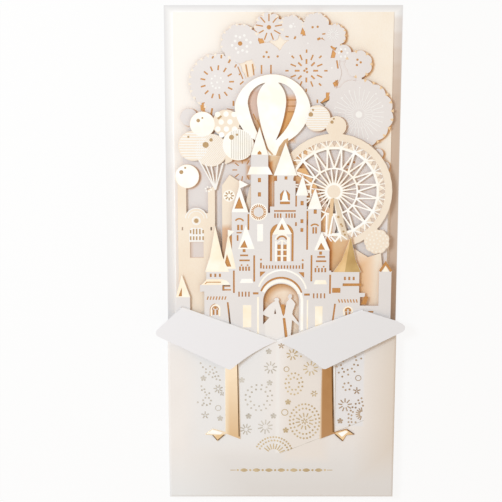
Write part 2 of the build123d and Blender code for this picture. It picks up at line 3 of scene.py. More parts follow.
import bpy
import numpy as np
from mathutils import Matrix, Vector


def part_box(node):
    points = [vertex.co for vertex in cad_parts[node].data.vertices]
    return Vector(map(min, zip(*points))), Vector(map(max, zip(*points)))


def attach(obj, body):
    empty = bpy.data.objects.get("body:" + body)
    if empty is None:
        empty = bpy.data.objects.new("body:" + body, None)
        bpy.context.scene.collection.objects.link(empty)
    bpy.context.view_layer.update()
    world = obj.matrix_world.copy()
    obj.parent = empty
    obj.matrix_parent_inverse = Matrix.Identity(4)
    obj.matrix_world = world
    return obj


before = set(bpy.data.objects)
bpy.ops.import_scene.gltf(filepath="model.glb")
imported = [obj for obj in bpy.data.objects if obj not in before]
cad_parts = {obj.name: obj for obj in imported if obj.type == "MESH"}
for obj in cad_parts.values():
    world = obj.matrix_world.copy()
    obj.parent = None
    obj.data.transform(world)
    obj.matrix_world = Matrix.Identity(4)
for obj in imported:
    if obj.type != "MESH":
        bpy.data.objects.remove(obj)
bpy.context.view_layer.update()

# Pocket folder: one sheet of pearl card, folded up into a back panel and a glued pocket,
# with two flaps turned out along the slanting mouth. The face has fine fibres and a soft shimmer.


def tone(red, green, blue):
    """Linear colour of a tone given in steps from 0 to 255."""
    share = np.array((red, green, blue)) / 255
    linear = np.where(share <= 0.04045, share / 12.92, ((share + 0.055) / 1.055) ** 2.4)
    return (*linear.tolist(), 1.0)


def node(tree, kind, inputs=None, **settings):
    """One shader node; an input is a plain value or another node's output."""
    made = tree.nodes.new(kind)
    for key, value in settings.items():
        setattr(made, key, value)
    for key, value in (inputs or {}).items():
        if isinstance(value, bpy.types.NodeSocket):
            tree.links.new(value, made.inputs[key])
        else:
            made.inputs[key].default_value = value
    return made


def group(name, takes, gives):
    """Empty shader node group with named sockets, and its two ends."""
    tree = bpy.data.node_groups.new(name, "ShaderNodeTree")
    for label, kind in takes:
        tree.interface.new_socket(label, in_out="INPUT", socket_type="NodeSocket" + kind)
    for label, kind in gives:
        tree.interface.new_socket(label, in_out="OUTPUT", socket_type="NodeSocket" + kind)
    return tree, tree.nodes.new("NodeGroupInput").outputs, tree.nodes.new("NodeGroupOutput").inputs


def blend(tree, share, first, second):
    """Colour between two colours by a share."""
    return node(tree, "ShaderNodeMix", {0: share, 6: first, 7: second}, data_type="RGBA").outputs[2]


def maths(tree, kind, first, second=0.0, clamp=False):
    """One sum on two values."""
    return node(tree, "ShaderNodeMath", {0: first, 1: second}, operation=kind, use_clamp=clamp).outputs[0]


def ramp(tree, value, start, end):
    """Share that grows from none at the start value to one at the end value."""
    return node(tree, "ShaderNodeMapRange", {"Value": value, "From Min": start, "From Max": end}).outputs[0]


def noise(tree, place, scale, detail):
    """Soft cloudy noise at a scale per metre."""
    made = node(tree, "ShaderNodeTexNoise", {"Vector": place, "Scale": scale, "Detail": detail})
    return made.outputs["Fac"]


# Card face: long fibres, soft clouds and specks, as a colour between two tones, a roughness and a height
card_face, take, give = group(
    "card_face",
    [("Place", "Vector"), ("Pale", "Color"), ("Deep", "Color"), ("Gloss", "Float")],
    [("Colour", "Color"), ("Roughness", "Float"), ("Height", "Float")],
)
lain = node(card_face, "ShaderNodeMapping", {"Vector": take["Place"], "Scale": (1.0, 0.25, 1.0)})
fibre = noise(card_face, lain.outputs[0], 4200.0, 3.0)
cloud = noise(card_face, take["Place"], 55.0, 2.0)
speck = node(card_face, "ShaderNodeTexVoronoi", {"Vector": take["Place"], "Scale": 2600.0})
mixed = maths(card_face, "ADD", maths(card_face, "MULTIPLY", fibre, 0.45),
              maths(card_face, "MULTIPLY", cloud, 0.55))
drawn = blend(card_face, ramp(card_face, mixed, 0.35, 0.65), take["Pale"], take["Deep"])
card_face.links.new(drawn, give["Colour"])
sparkle = maths(card_face, "MULTIPLY", speck.outputs["Distance"], 0.22)
card_face.links.new(maths(card_face, "ADD", take["Gloss"], sparkle), give["Roughness"])
card_face.links.new(fibre, give["Height"])


def bare(owner):
    """Empty node tree of a new material or world."""
    owner.use_nodes = True
    owner.node_tree.nodes.clear()
    return owner.node_tree


def started(name):
    """New material, its empty node tree, and the place on the card for its patterns."""
    material = bpy.data.materials.new(name)
    tree = bare(material)
    return material, tree, node(tree, "ShaderNodeTexCoord").outputs["Object"]


def skin(tree, colour, height, strength, depth, inputs):
    """Principled skin with a bump from a height, joined to the material's output."""
    bump = node(tree, "ShaderNodeBump", {"Strength": strength, "Distance": depth, "Height": height})
    made = node(tree, "ShaderNodeBsdfPrincipled",
                {"Base Color": colour, "Normal": bump.outputs[0], **inputs})
    node(tree, "ShaderNodeOutputMaterial", {"Surface": made.outputs[0]})


def card(name, pale, deep, gloss, shimmer, dress=None):
    """Card with fibres and a satin face; dress may change the colour by place before it is used."""
    material, tree, place = started(name)
    face = node(tree, "ShaderNodeGroup", {
        "Place": place, "Pale": tone(*pale), "Deep": tone(*deep), "Gloss": gloss,
    }, node_tree=card_face).outputs
    colour = dress(tree, place, face["Colour"]) if dress else face["Colour"]
    skin(tree, colour, face["Height"], 0.25, 0.00003, {
        "Roughness": face["Roughness"], "Specular IOR Level": 0.25,
        "Coat Weight": shimmer, "Coat Roughness": 0.4,
    })
    return material


def cover(piece, *finishes):
    """Gives a CAD piece its finishes; the first one goes all over."""
    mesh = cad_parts[piece].data
    mesh.materials.clear()
    for finish in finishes:
        mesh.materials.append(finish)
    return mesh


base_line = -0.0405


def at(points):
    """Places in metres, from millimetres right of the centre line and above the artwork's base line."""
    return np.asarray(points, float).reshape(-1, 2) / 1000 + (0.0, base_line)


# Soft box: one inside a rectangle in the plane of the card, fading to none across its border
soft_box, take, give = group(
    "soft_box",
    [("Place", "Vector"), *((label, "Float") for label in ("Left", "Right", "Bottom", "Top", "Fade"))],
    [("Inside", "Float")],
)
axes = node(soft_box, "ShaderNodeSeparateXYZ", {0: take["Place"]}).outputs
side_gap = maths(soft_box, "MINIMUM", maths(soft_box, "SUBTRACT", axes["X"], take["Left"]),
                 maths(soft_box, "SUBTRACT", take["Right"], axes["X"]))
end_gap = maths(soft_box, "MINIMUM", maths(soft_box, "SUBTRACT", axes["Y"], take["Bottom"]),
                maths(soft_box, "SUBTRACT", take["Top"], axes["Y"]))
least = maths(soft_box, "MINIMUM", side_gap, end_gap)
soft_box.links.new(maths(soft_box, "DIVIDE", least, take["Fade"], clamp=True), give["Inside"])


def in_box(tree, place, left, right, bottom, top, fade):
    """Share inside a box of the artwork, in millimetres, that fades across its border."""
    (x0, y0), (x1, y1) = at([(left, bottom), (right, top)])
    return node(tree, "ShaderNodeGroup", {
        "Place": place, "Left": x0, "Right": x1, "Bottom": y0, "Top": y1, "Fade": fade / 1000,
    }, node_tree=soft_box).outputs[0]


def tinted(box, tint):
    """Dress that lays one tint on a soft box of the artwork: left, right, bottom, top and fade."""
    def dress(tree, place, colour):
        return blend(tree, in_box(tree, place, *box), colour, tone(*tint))
    return dress


def layered(*dresses):
    """Dress that lays several dresses one over the other."""
    def dress(tree, place, colour):
        for each in dresses:
            colour = each(tree, place, colour)
        return colour
    return dress


# Tints on the pocket's front: the printed box's faces and corner are print, and the foot and right side are
# painted shade
front_print_and_shade = layered(
    tinted((-80, 80, -120, -50, 30), (234, 237, 240)),  # painted shade: cooler, darker foot of the pocket
    tinted((-48, 90, -130, -38, 34), (227, 225, 224)),  # painted shade: greyer to its right
    tinted((-47, -2, -56, 24, 9), (239, 239, 240)),  # left face of the printed box
    tinted((-0.8, 24, -60, 10, 5), (238, 232, 227)),  # right face of the printed box
    tinted((34, 80, -70, 60, 22), (225, 214, 202)),  # painted shade: tan right side of the pocket, away from the lamp
    tinted((25, 39.4, -41, 24, 0.9), (236, 236, 239)),  # cool panel right of the ribbon
    tinted((-3.4, -0.6, -54.6, 10, 1), (244, 243, 242)),  # bright corner of the printed box
)
# Heights at which the tints of flaps and back begin and are full, and tops of the right border's layers of
# painted shadow
flap_levels = (0.0072, 0.0076)
back_levels = (0.006, 0.004)
border_shadow_tops = np.linspace(154, 112, 7)


def pocket_print_and_shade(tree, place, colour):
    """Print tints and painted shade on the pocket's front, and the cooler inside of the sheet with painted
    shade on back and flaps, told by height.
    """
    colour = front_print_and_shade(tree, place, colour)
    axes = node(tree, "ShaderNodeSeparateXYZ", {0: place}).outputs
    middle = in_box(tree, place, -53.8, 53.8, -120, 157.7, 3.0)
    # Inside of the sheet on the back: whiter in the middle, with painted shade greyer toward its outer edges
    inside = blend(tree, middle, tone(228, 228, 230), tone(250, 250, 250))
    # Painted shadow of the insert on the back's right border, in tan layers
    for top in border_shadow_tops:
        share = maths(tree, "MULTIPLY", in_box(tree, place, 47.6, 55.4, 6, top, 2.2), 0.28)
        inside = blend(tree, share, inside, tone(204, 178, 155))
    colour = blend(tree, ramp(tree, axes["Z"], *back_levels), colour, inside)
    right = maths(tree, "GREATER_THAN", axes["X"], 0.0)
    # Flaps show the cooler inside of the sheet, and painted shade makes the right flap darker
    flaps = blend(tree, right, tone(238, 238, 242), tone(232, 232, 235))
    return blend(tree, ramp(tree, axes["Z"], *flap_levels), colour, flaps)


pearl = card("pearl_card", (245, 242, 240), (242, 238, 236), 0.38, 0.25, pocket_print_and_shade)
cover("pocket_folder", pearl)

# Foil print of the pocket's front: a box drawn in two faces, with bursts of dots and dashes on them
# and a row of ornament below. It is pressed into the card as thin foil.
# Each film of foil or ink is 0.03 mm thick, and parts that cross in one piece are a hair apart
film = 0.00003
hair = 4e-7


def plate(outline, height, layers=1):
    """Flat plate: its outline carried straight up by that many films, with a floor and a lid."""
    ring = at(outline)
    after = np.roll(ring, -1, 0)
    if np.sum(ring[:, 0] * after[:, 1] - after[:, 0] * ring[:, 1]) < 0:
        ring = ring[::-1]
    count = len(ring)
    levels = (height, height + layers * film)
    places = np.vstack([np.column_stack([ring, np.full(count, z)]) for z in levels])
    step = np.arange(count)
    turn = np.roll(step, -1)
    walls = np.column_stack([step, turn, turn + count, step + count])
    return places, [*walls.tolist(), step[::-1].tolist(), (step + count).tolist()]


def plates(outlines, height, layers=1):
    """Flat plates at one height."""
    return [plate(outline, height, layers) for outline in outlines]


def strip(path, width, height, layers=1, closed=False):
    """Flat strip: a low rectangle carried along a path, its sides square to it and mitred at corners."""
    line = at(path)
    ahead = np.roll(line, -1, 0) - line
    back = np.roll(ahead, 1, 0)
    if not closed:
        ahead[-1], back[0] = back[-1], ahead[0]
    ahead /= np.linalg.norm(ahead, axis=1)[:, None]
    back /= np.linalg.norm(back, axis=1)[:, None]
    along = ahead + back
    along /= np.linalg.norm(along, axis=1)[:, None]
    mitre = np.clip(np.sum(along * ahead, axis=1), 0.35, 1.0)[:, None]
    off = np.column_stack([-along[:, 1], along[:, 0]]) * width / 2000 / mitre
    sides = [line - off, line + off, line + off, line - off]
    lid = height + layers * film
    count = len(line)
    places = np.stack([
        np.column_stack([side, np.full(count, z)]) for side, z in zip(sides, (height, height, lid, lid))
    ], axis=1).reshape(-1, 3)
    first = np.arange(count if closed else count - 1)[:, None] * 4
    second = (first + 4) % (4 * count)
    corner = np.arange(4)
    after = (corner + 1) % 4
    quads = np.stack([first + after, second + after, second + corner, first + corner], axis=2)
    ends = [] if closed else [[3, 2, 1, 0], (corner + 4 * (count - 1)).tolist()]
    return places, [*quads.reshape(-1, 4).tolist(), *ends]


def strips(rows, height, layers=1):
    """Flat strips at one height, each row a path and a width."""
    return [strip(path, width, height, layers) for path, width in rows]


def dashes(near, far, width, height, layers=1):
    """Straight strips, each from one point of a row to its fellow in another row."""
    return [strip(pair, width, height, layers) for pair in np.stack([near, far], axis=1)]


def circle(x, y, radius, count, start=0.0, tall=1.0):
    """Points round a circle, or an ellipse that many times as tall as wide, from an angle in degrees."""
    angle = np.radians(start) + np.linspace(0, 2 * np.pi, count, endpoint=False)
    return np.column_stack([x + radius * np.cos(angle), y + radius * tall * np.sin(angle)])


def fan(x, y, radius, first, last, count):
    """Points along part of a circle, between two angles in degrees."""
    angle = np.radians(np.linspace(first, last, count))
    return np.column_stack([x + radius * np.cos(angle), y + radius * np.sin(angle)])


def arc(first, middle, last, count=14):
    """Points along the circle through three places: its centre is where their cross lines meet."""
    a, b, c = (np.array(p, float) for p in (first, middle, last))
    rows = 2 * np.array([b - a, c - a])
    centre = np.linalg.solve(rows, np.array([b @ b - a @ a, c @ c - a @ a]))
    angles = np.unwrap([math.atan2(*(p - centre)[::-1]) for p in (a, b, c)])
    angle = np.interp(np.linspace(0, 2, count), (0, 1, 2), angles)
    return centre + np.linalg.norm(a - centre) * np.column_stack([np.cos(angle), np.sin(angle)])


def dots(places, radius, height, layers=1, sides=8):
    """Round dots as low many-sided plates."""
    return [plate(circle(x, y, radius, sides), height, layers) for x, y in places]


def spokes(x, y, inner, outer, width, count, height, start=0.0, layers=1):
    """Dashes that point at a centre, evenly all round it."""
    near, far = (circle(x, y, radius, count, start) for radius in (inner, outer))
    return dashes(near, far, width, height, layers)


def lay(name, parts, material):
    """One piece of several plates and strips on the card, each lifted a hair over the one before it."""
    counts = [len(places) for places, _ in parts]
    spots = np.vstack([places for places, _ in parts])
    spots[:, 2] += np.repeat(np.arange(len(parts)) * hair, counts)
    firsts = np.cumsum([0] + counts)
    faces = [[corner + first for corner in face] for (_, own), first in zip(parts, firsts) for face in own]
    mesh = bpy.data.meshes.new(name)
    mesh.from_pydata(spots, [], faces)
    mesh.update()
    mesh.materials.append(material)
    piece = bpy.data.objects.new(name, mesh)
    bpy.context.scene.collection.objects.link(piece)
    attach(piece, "root")


def foil(name, pale, deep, rough, grain=900.0, dress=None):
    """Pressed metal foil: two tones that drift over the surface, and a crinkle of its own grain."""
    material, tree, place = started(name)
    drift = ramp(tree, noise(tree, place, 130.0, 2.0), 0.35, 0.65)
    colour = blend(tree, drift, tone(*pale), tone(*deep))
    if dress:
        colour = dress(tree, place, colour)
    skin(tree, colour, noise(tree, place, grain, 3.0), 0.2, 0.00004, {"Metallic": 1.0, "Roughness": rough})
    return material


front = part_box("ribbon_left")[0].z
print_gold = foil("print_gold", (214, 192, 156), (188, 162, 122), 0.4)
print_grey = foil("print_grey", (212, 203, 190), (188, 177, 161), 0.42)
print_brown = foil("print_brown", (192, 168, 142), (160, 132, 104), 0.42)
print_dot = 0.5
print_dash = 0.58


def bursts(name, material, spots, rings, stars, flowers, circles):
    """One group of bursts: loose dots, rings of dots, rings of dashes, five-dot flowers and circles."""
    parts = dots(spots, print_dot, front)
    for x, y, radius, count, tall in rings:
        parts += dots(circle(x, y, radius, count, 10, tall), print_dot, front)
    for x, y, inner, outer, count, start in stars:
        parts += spokes(x, y, inner, outer, print_dash, count, front, start)
    for x, y in flowers:
        parts += dots([(x, y), *circle(x, y, 0.95, 5, 18)], 0.52, front)
    parts += [strip(circle(x, y, radius, 24), 0.35, front, closed=True) for x, y, radius in circles]
    lay(name, parts, material)


bursts(
    "box_bursts_left", print_grey,
    [(-38.5, -9), (-37.4, -11), (-36, -12), (-34, -10.6), (-32.9, -12.2), (-34.1, -13.4), (-34.6, -14.6),
     (-32.9, -16), (-31.8, -11.2), (-32.4, -14), (-31, -13.4), (-31, -17), (-31.6, -15.6), (-30.1, -15.4),
     (-29.4, -17.4), (-36, -13.6), (-36.8, -22), (-36.5, -23.5), (-34.5, -24), (-35.8, -24.8), (-38, -22.4),
     (-38.2, -20.5), (-40, -28.5), (-37.8, -30)],
    [(-10.9, -26.2, 4.3, 11, 1.0), (-10.9, -26.2, 6.4, 16, 1.0), (-35.6, -28, 1.9, 7, 1.0)],
    [(-5.4, -11.2, 1.2, 3.1, 9, 8), (-7.8, -40.9, 1.3, 3.6, 10, 15), (-17, -42.2, 0.9, 2.8, 9, 0),
     (-30.2, -21.8, 0.6, 2.2, 7, 20), (-36.5, -35, 0.4, 1.9, 5, 18), (-28.4, -24.3, 0.3, 1, 4, 40)],
    [(-37.2, -16.5), (-5.8, -18.8), (-19, -17.4), (-15.8, -35.5), (-29.4, -36.6), (-3.9, -35.4),
     (-6.2, -3.2)],
    [(-30.3, -31.4, 1.3)],
)
bursts(
    "box_bursts_right", print_gold,
    [(5.6, -2.2), (7, -3.2), (9, -5.6)],
    [(5.8, -19.3, 2.5, 9, 1.25), (5.8, -19.3, 4.1, 15, 1.3), (11, -38.1, 5.4, 20, 1.2),
     (11, -38.1, 7.1, 28, 1.22)],
    [(4.9, -4.8, 1.0, 2.8, 8, 30), (13.6, -11.6, 1.6, 3.6, 10, 10), (15.4, -24.2, 0.5, 1.6, 6, 0),
     (11, -38.1, 2.3, 4.3, 12, 8), (11, -38.1, 0.5, 1.6, 6, 40)],
    [(3, -28.4), (2, -42.6)],
    [(2.2, -12, 1.2), (1.5, -33.6, 1.5)],
)
bursts(
    "box_bursts_far", print_brown,
    [(26, -10.7), (28, -10), (29, -8), (28.7, -11.7), (27, -13.7), (29.5, -13.3), (31.2, -12.3),
     (31.5, -14.7), (28.7, -15.7), (33.2, -11.7), (34.5, -13.2), (34.2, -9.7), (36, -10), (35.2, -7.5),
     (37.5, -6.7), (34.7, -5.8), (38, -26.5), (38.4, -28.3), (36.5, -27.5), (37, -29), (38.8, -30.2),
     (35.3, -29.3), (33.8, -31), (33, -32.7), (32, -34.5), (34, -33.4), (33.4, -35.1), (32, -36.5),
     (33.3, -36.9), (32, -38.5), (33.5, -38.5), (32.5, -40.1), (35.3, -31.2), (35.4, -38.6)],
    [(31, -20.6, 1.9, 6, 1.0)],
    [(30.2, -29.9, 1.3, 3.3, 9, 10), (35.7, -22.8, 0.3, 1.8, 5, 18), (-0.3, -0.4, 0.2, 1.5, 5, 18)],
    [(28, -37.9)],
    [(36.3, -16.4, 1.3)],
)
# Half bursts that rise from the box's foot and from its right edge, and the box's two lower edges
foot = (-3.7, -55.2)
foot_burst = dots(fan(*foot, 9.1, 22, 152, 16), print_dot, front)
foot_burst += dots(fan(*foot, 7.4, 20, 154, 13), print_dot, front)
foot_burst += dashes(fan(*foot, 3.0, 24, 142, 8), fan(*foot, 5.8, 24, 142, 8), print_dash, front)
lay("box_foot_burst", foot_burst, print_gold)
edge = (38.6, -34.4)
edge_burst = dashes(fan(*edge, 1.2, 100, 250, 8), fan(*edge, 3.3, 100, 250, 8), 0.6, front)
lay("box_half_burst", edge_burst, print_brown)
box_edges = [([(-0.6, -54.4), (18.6, -46.5)], 0.16), ([(25.6, -43.5), (39.3, -37.6)], 0.16)]
lay("box_edges", strips(box_edges, front), print_grey)
# Row of leaves and beads under the box
row, leaf_reach, leaf_rise = -63.0, 1.9, 0.9
beads = dots([(x, row) for x in np.arange(-21.0, 21.1, 6.0)], 0.55, front, sides=12)
for x in np.arange(-18.0, 18.1, 6.0):
    left, right = (x - leaf_reach, row), (x + leaf_reach, row)
    upper = arc(left, (x, row + leaf_rise), right, 9)
    lower = arc(right, (x, row - leaf_rise), left, 9)
    beads.append(plate(np.vstack([upper, lower[1:-1]]), front))
beads += [strip([(side * 21.9, row), (side * 24.6, row)], 0.35, front) for side in (-1, 1)]
lay("ornament_row", beads, print_gold)

# Insert card: a plain board of cream shimmer card that slides in the pocket and carries the layers.
# It shows round the flowers as a bright, slightly warm ground, with painted light on its left side and warm
# brown painted shadow next to the flowers' edges.

# Soft disc: one inside a circle in the plane of the card, fading to none across its border
soft_disc, take, give = group(
    "soft_disc",
    [("Place", "Vector"), ("Centre", "Vector"), ("Radius", "Float"), ("Fade", "Float")],
    [("Inside", "Float")],
)
level = node(soft_disc, "ShaderNodeVectorMath",
             {0: take["Place"], 1: (1.0, 1.0, 0.0)}, operation="MULTIPLY").outputs[0]
away = node(soft_disc, "ShaderNodeVectorMath",
            {0: level, 1: take["Centre"]}, operation="DISTANCE").outputs["Value"]
within = maths(soft_disc, "SUBTRACT", take["Radius"], away)
soft_disc.links.new(maths(soft_disc, "DIVIDE", within, take["Fade"], clamp=True), give["Inside"])
# Painted shadow lies a little right of and below the disc that casts it, and spreads past it
shadow_right, shadow_down, shadow_spread = 0.9, 0.7, 0.9


def painted_light_and_shade(boxes, discs, brown, fade=1.2):
    """Dress that paints light and shade on a card, in boxes and discs of the artwork in millimetres, as one
    tone with a drift.
    """
    def dress(tree, place, colour):
        share = 0.0
        for x, y, radius in discs:
            inside = node(tree, "ShaderNodeGroup", {
                "Place": place, "Centre": (*at([(x + shadow_right, y - shadow_down)])[0], 0.0),
                "Radius": (radius + shadow_spread) / 1000, "Fade": fade / 1000,
            }, node_tree=soft_disc)
            share = maths(tree, "MAXIMUM", inside.outputs[0], share)
        for box in boxes:
            share = maths(tree, "MAXIMUM", in_box(tree, place, *box, fade), share)
        drift = maths(tree, "ADD", maths(tree, "MULTIPLY", noise(tree, place, 160.0, 2.0), 0.5), 0.7)
        return blend(tree, maths(tree, "MULTIPLY", share, drift, clamp=True), colour, tone(*brown))
    return dress


# Centres of the flower heads in the artwork, and all of them with their radii
left_flower, upper_flower, top_flower = (-30, 123.5), (-19.5, 141), (-6.5, 148.3)
crown_flower, far_flower, corner_flower = (3.5, 147.8), (14.7, 148.8), (23, 144.6)
middle_flower, edge_flower, right_flower = (10.6, 128.7), (34.3, 131.7), (34.7, 109)
bud = (27.2, 136.8)
flowers = [(*left_flower, 12.6), (*upper_flower, 8.6), (*top_flower, 6.4), (-7.7, 135, 6.5),
           (*crown_flower, 5.9), (*far_flower, 6), (*corner_flower, 5.3), (*middle_flower, 15.6),
           (*edge_flower, 6.1), (*right_flower, 15.6), (*bud, 3.6), (44, 90.5, 2.4),
           (46.8, 84.5, 2.6), (-43, 107.5, 3.8)]
insert_light = layered(
    tinted((-75, -10, 10, 180, 26), (254, 250, 245)),  # painted light: whiter left side
    # Painted shadow, warm brown, right of and below each flower head
    painted_light_and_shade([], flowers, (244, 196, 138)),
)
cover("insert_card", card("cream_card", (254, 247, 236), (251, 240, 224), 0.36, 0.3, insert_light))

# Foam pads: strips and squares of white foam, sticky on both sides, that hold the layers apart.
# They sit inside the outlines and are only seen from the side.
pad_foam = card("pad_foam", (244, 242, 238), (234, 231, 226), 0.6, 0.0)
for pads in ("rosette_pads", "park_pads", "castle_pads"):
    cover(pads, pad_foam)

# Rosette sheet: flower heads cut from pale lilac card, browned along the cuts by the beam.
# Its fine slots and pin holes are painted brown, for the beam's browning and the shade inside them, and
# small white dots are pressed on some of the flowers.


def burn_and_shade_card(name, pale, deep):
    """Card browned in fine streaks: the beam's browning on cut sides, and painted shade where it stands for
    cut holes and the films behind them.
    """
    material, tree, place = started(name)
    streak = noise(tree, place, 1500.0, 2.0)
    colour = blend(tree, streak, tone(*pale), tone(*deep))
    skin(tree, colour, streak, 0.3, 0.00005, {"Roughness": 0.8, "Specular IOR Level": 0.2})
    return material


browned = burn_and_shade_card("browned_edge", (220, 168, 112), (184, 128, 74))
gold_back = card("gold_back", (232, 186, 128), (220, 168, 108), 0.5, 0.0)


def cover_cut(piece, face):
    """Gives a cut sheet its face, browned sides and a gold back, told by which way each facet looks."""
    mesh = cover(piece, face, browned, gold_back)
    way = np.empty(len(mesh.polygons) * 3)
    mesh.polygons.foreach_get("normal", way)
    mesh.polygons.foreach_set("material_index", np.select([way[2::3] > 0.5, way[2::3] < -0.5], [0, 2], 1))


# Balloons of the park sheet, which smoke the card behind them: centre and radius
foil_balloons = [(-36.8, 104.5, 5.6), (-44.1, 80.3, 5.4), (-20.5, 95, 7.1)]
spotted_balloon, striped_balloon, plain_balloon = (-26, 105, 6), (15.7, 107.2, 5.8), (24.3, 103.5, 4.5)
# Painted shadow behind the balloons and towers, then painted warm light and shade in the hot-air balloon's
# two open gores
lilac_light = layered(
    painted_light_and_shade([(-25, -14.5, 85.5, 91.5), (-17.5, -14, 78, 86), (3, 22, 40, 76), (5, 12, 72, 88)],
           [*foil_balloons, spotted_balloon, striped_balloon, plain_balloon], (228, 174, 116), 2.0),
    painted_light_and_shade([(-18.5, -9, 104.5, 121.5)], [], (230, 200, 182), 2.6),
    painted_light_and_shade([(-14.5, -5, 95, 108.5)], [], (222, 180, 136), 2.2),
    painted_light_and_shade([(-1.5, 7.5, 107, 118.5)], [], (234, 186, 144), 2.4),
    painted_light_and_shade([(-4, 6.5, 95, 111.5)], [], (236, 180, 112), 2.2),
)
lilac = card("lilac_card", (238, 234, 233), (232, 227, 226), 0.42, 0.2, lilac_light)
cover_cut("rosette_sheet", lilac)
# Painted slots and pin holes: brown for the beam's browning and the shade inside the cuts
slot_brown = burn_and_shade_card("slot_burn_and_shade", (222, 168, 110), (188, 130, 74))
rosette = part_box("rosette_sheet")[1].z
pins = [(-7.5, 137.1), (-8.8, 135.1), (-6.6, 134.9), (-2.5, 135.2), (33.7, 133.7), (33.5, 131.3),
        (35.2, 132.5), (26.4, 137.4), (15.5, 148.5), (13.2, 148.3), (10.6, 129.6), (9.7, 128.7),
        (10.9, 128.1), (30.2, 85.6), (33, 86.6), (34.8, 84.6), (29.8, 83.1), (32.7, 83.1)]
slots = dots(pins, 0.55, rosette)
slots += spokes(*top_flower, 2.7, 6.0, 0.55, 9, rosette, 10)
slots += spokes(*middle_flower, 5.2, 7.8, 0.65, 8, rosette, 22.5)
slots += spokes(*middle_flower, 8.1, 9.6, 0.7, 8, rosette)
slots += spokes(-18.0, 83.0, 3.0, 5.2, 0.5, 9, rosette, 20)
slots += strips([
    ([(-24.8, 132.2), (-24, 133.8)], 0.8), ([(-28.1, 134.3), (-28, 135.9)], 0.7),
    ([(-32.2, 134.3), (-31.6, 135.3)], 0.7), ([(-22.6, 112.7), (-22.6, 115)], 0.8),
    ([(-32.9, 108.2), (-32.3, 111.6)], 0.85), ([(-19.6, 122.5), (-18, 123.9)], 0.6),
    ([(-22, 130.2), (-21.2, 131.6)], 0.6), ([(-19.9, 126.7), (-19.8, 127.4)], 0.6),
    ([(-25.6, 111.4), (-22.3, 110.8)], 0.35), ([(15.7, 114), (15.7, 115.6)], 0.7),
    ([(24.6, 122), (24, 124.4)], 0.6), ([(5, 143), (5.6, 144.2)], 0.8),
    ([(1, 144.2), (2.4, 144)], 0.6), ([(17.6, 145.2), (19, 145.4)], 0.6),
    ([(15.4, 142.8), (16.8, 143.4)], 1),
], rosette)
slots += strips([(path, 0.5) for path in (
    [(-20.6, 130.6), (-18.3, 125)], [(-17, 131.6), (-16, 126)], [(-14, 131.8), (-13.2, 126.6)],
    [(1.8, 115.4), (6.2, 115.4)], [(2, 112.6), (5.9, 112.6)], [(2.2, 110), (5.4, 110)],
    [(-13.6, 109), (-12.4, 106.4)], [(-11.8, 106.2), (-10.4, 103.2)],
)], rosette)
slots += dots([upper_flower, top_flower], 1.0, rosette, sides=14)
lay("rosette_slots", slots, slot_brown)


def block(left, right, low, high):
    """Corners of an upright rectangle."""
    return [(left, low), (right, low), (right, high), (left, high)]


# Brown film of painted shade on the back of the sheet, behind its rings of slots and the gaps between the
# flowers
rosette_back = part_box("rosette_sheet")[0].z - film
backing = [strip(circle(*left_flower, 6.6, 40), 3.2, rosette_back, closed=True),
           strip(circle(*middle_flower, 4.2, 32), 3.4, rosette_back, closed=True)]
backing += plates([
    block(-11, -4.4, 126.8, 131.9),
    [(6.9, 144.4), (10, 144.2), (10.1, 147.6), (8.4, 149)],
    [(20.9, 133.9), (24, 133.9), (24.5, 137), (22.4, 139.2)],
    [(23.4, 134), (25.2, 134), (25.9, 129.1), (24.1, 129.1)],
    [(21.9, 123.2), (25.9, 125.6), (24.9, 121.6), (23.4, 120.3)],
    [(19.2, 119.4), (22, 119.4), (20.9, 115.5), (17.4, 113.9)],
    [(-37.9, 115), (-34.9, 115), (-34.9, 109.2), (-37.4, 109.2)],
    block(-13.1, -11.4, 145.2, 148),
    block(-12.2, -8.6, 140.6, 143.6),
    block(15.6, 19.4, 142, 144.6),
    [(20.6, 138), (23.6, 138), (24.2, 140.6), (21.2, 140.6)],
], rosette_back)
lay("rosette_backing", backing, burn_and_shade_card("shade_film_gold", (236, 182, 120), (214, 156, 92)))


def wedges(x, y, rim, deep, wide, first, last, count):
    """Wedges that part a flower's petals: each has its base on the rim and its tip nearer the centre."""
    half = math.degrees(wide / 2 / rim)
    corners = [fan(x, y, rim - deep, first, last, count), fan(x, y, rim, first - half, last - half, count),
               fan(x, y, rim, first + half, last + half, count)]
    return plates(np.stack(corners, axis=1), rosette)


# Petal cuts with painted light and shade: cream on the flowers to the left and top, cream film of painted
# light behind two gaps, golden painted shade to the right
lit = wedges(*left_flower, 13.05, 1.4, 1.5, 64, 244, 13)
lit += wedges(*upper_flower, 8.95, 1.2, 1.3, 32, 190, 8)
lit += wedges(*top_flower, 6.75, 1.9, 1.3, -10, 210, 8)
lit += wedges(*crown_flower, 6.15, 1.1, 1.0, 25.7, 154.3, 6)
lit += wedges(*far_flower, 6.25, 1.1, 1.0, 25.7, 180, 7)
lit += plates([
    [(-24, 134.6), (-11.4, 134.6), (-11.4, 124), (-20.5, 120.4)],
    block(-8.6, 4.6, 137.4, 146),
], rosette_back)
petal_cream = card("petal_cream", (253, 244, 230), (250, 238, 220), 0.4, 0.2)
lay("petal_cuts_lit", lit, petal_cream)
behind = [(22.5, 134.5), (28.2, 134), (30.5, 128.5), (33.4, 127.2), (33.4, 123), (27, 119), (22.5, 119.5)]
lay("petal_back", [plate(behind, rosette_back)], lilac)
shaded = wedges(*right_flower, 16.05, 1.5, 1.6, -70, 80, 11)
shaded += wedges(*edge_flower, 6.35, 1.4, 1.5, -102.9, 154.3, 6)
shaded += wedges(*corner_flower, 5.55, 1.0, 1.0, -51.4, 102.9, 7)
petal_gold = card("petal_gold", (247, 218, 178), (239, 204, 158), 0.45, 0.1)
lay("petal_cuts_shaded", shaded, petal_gold)
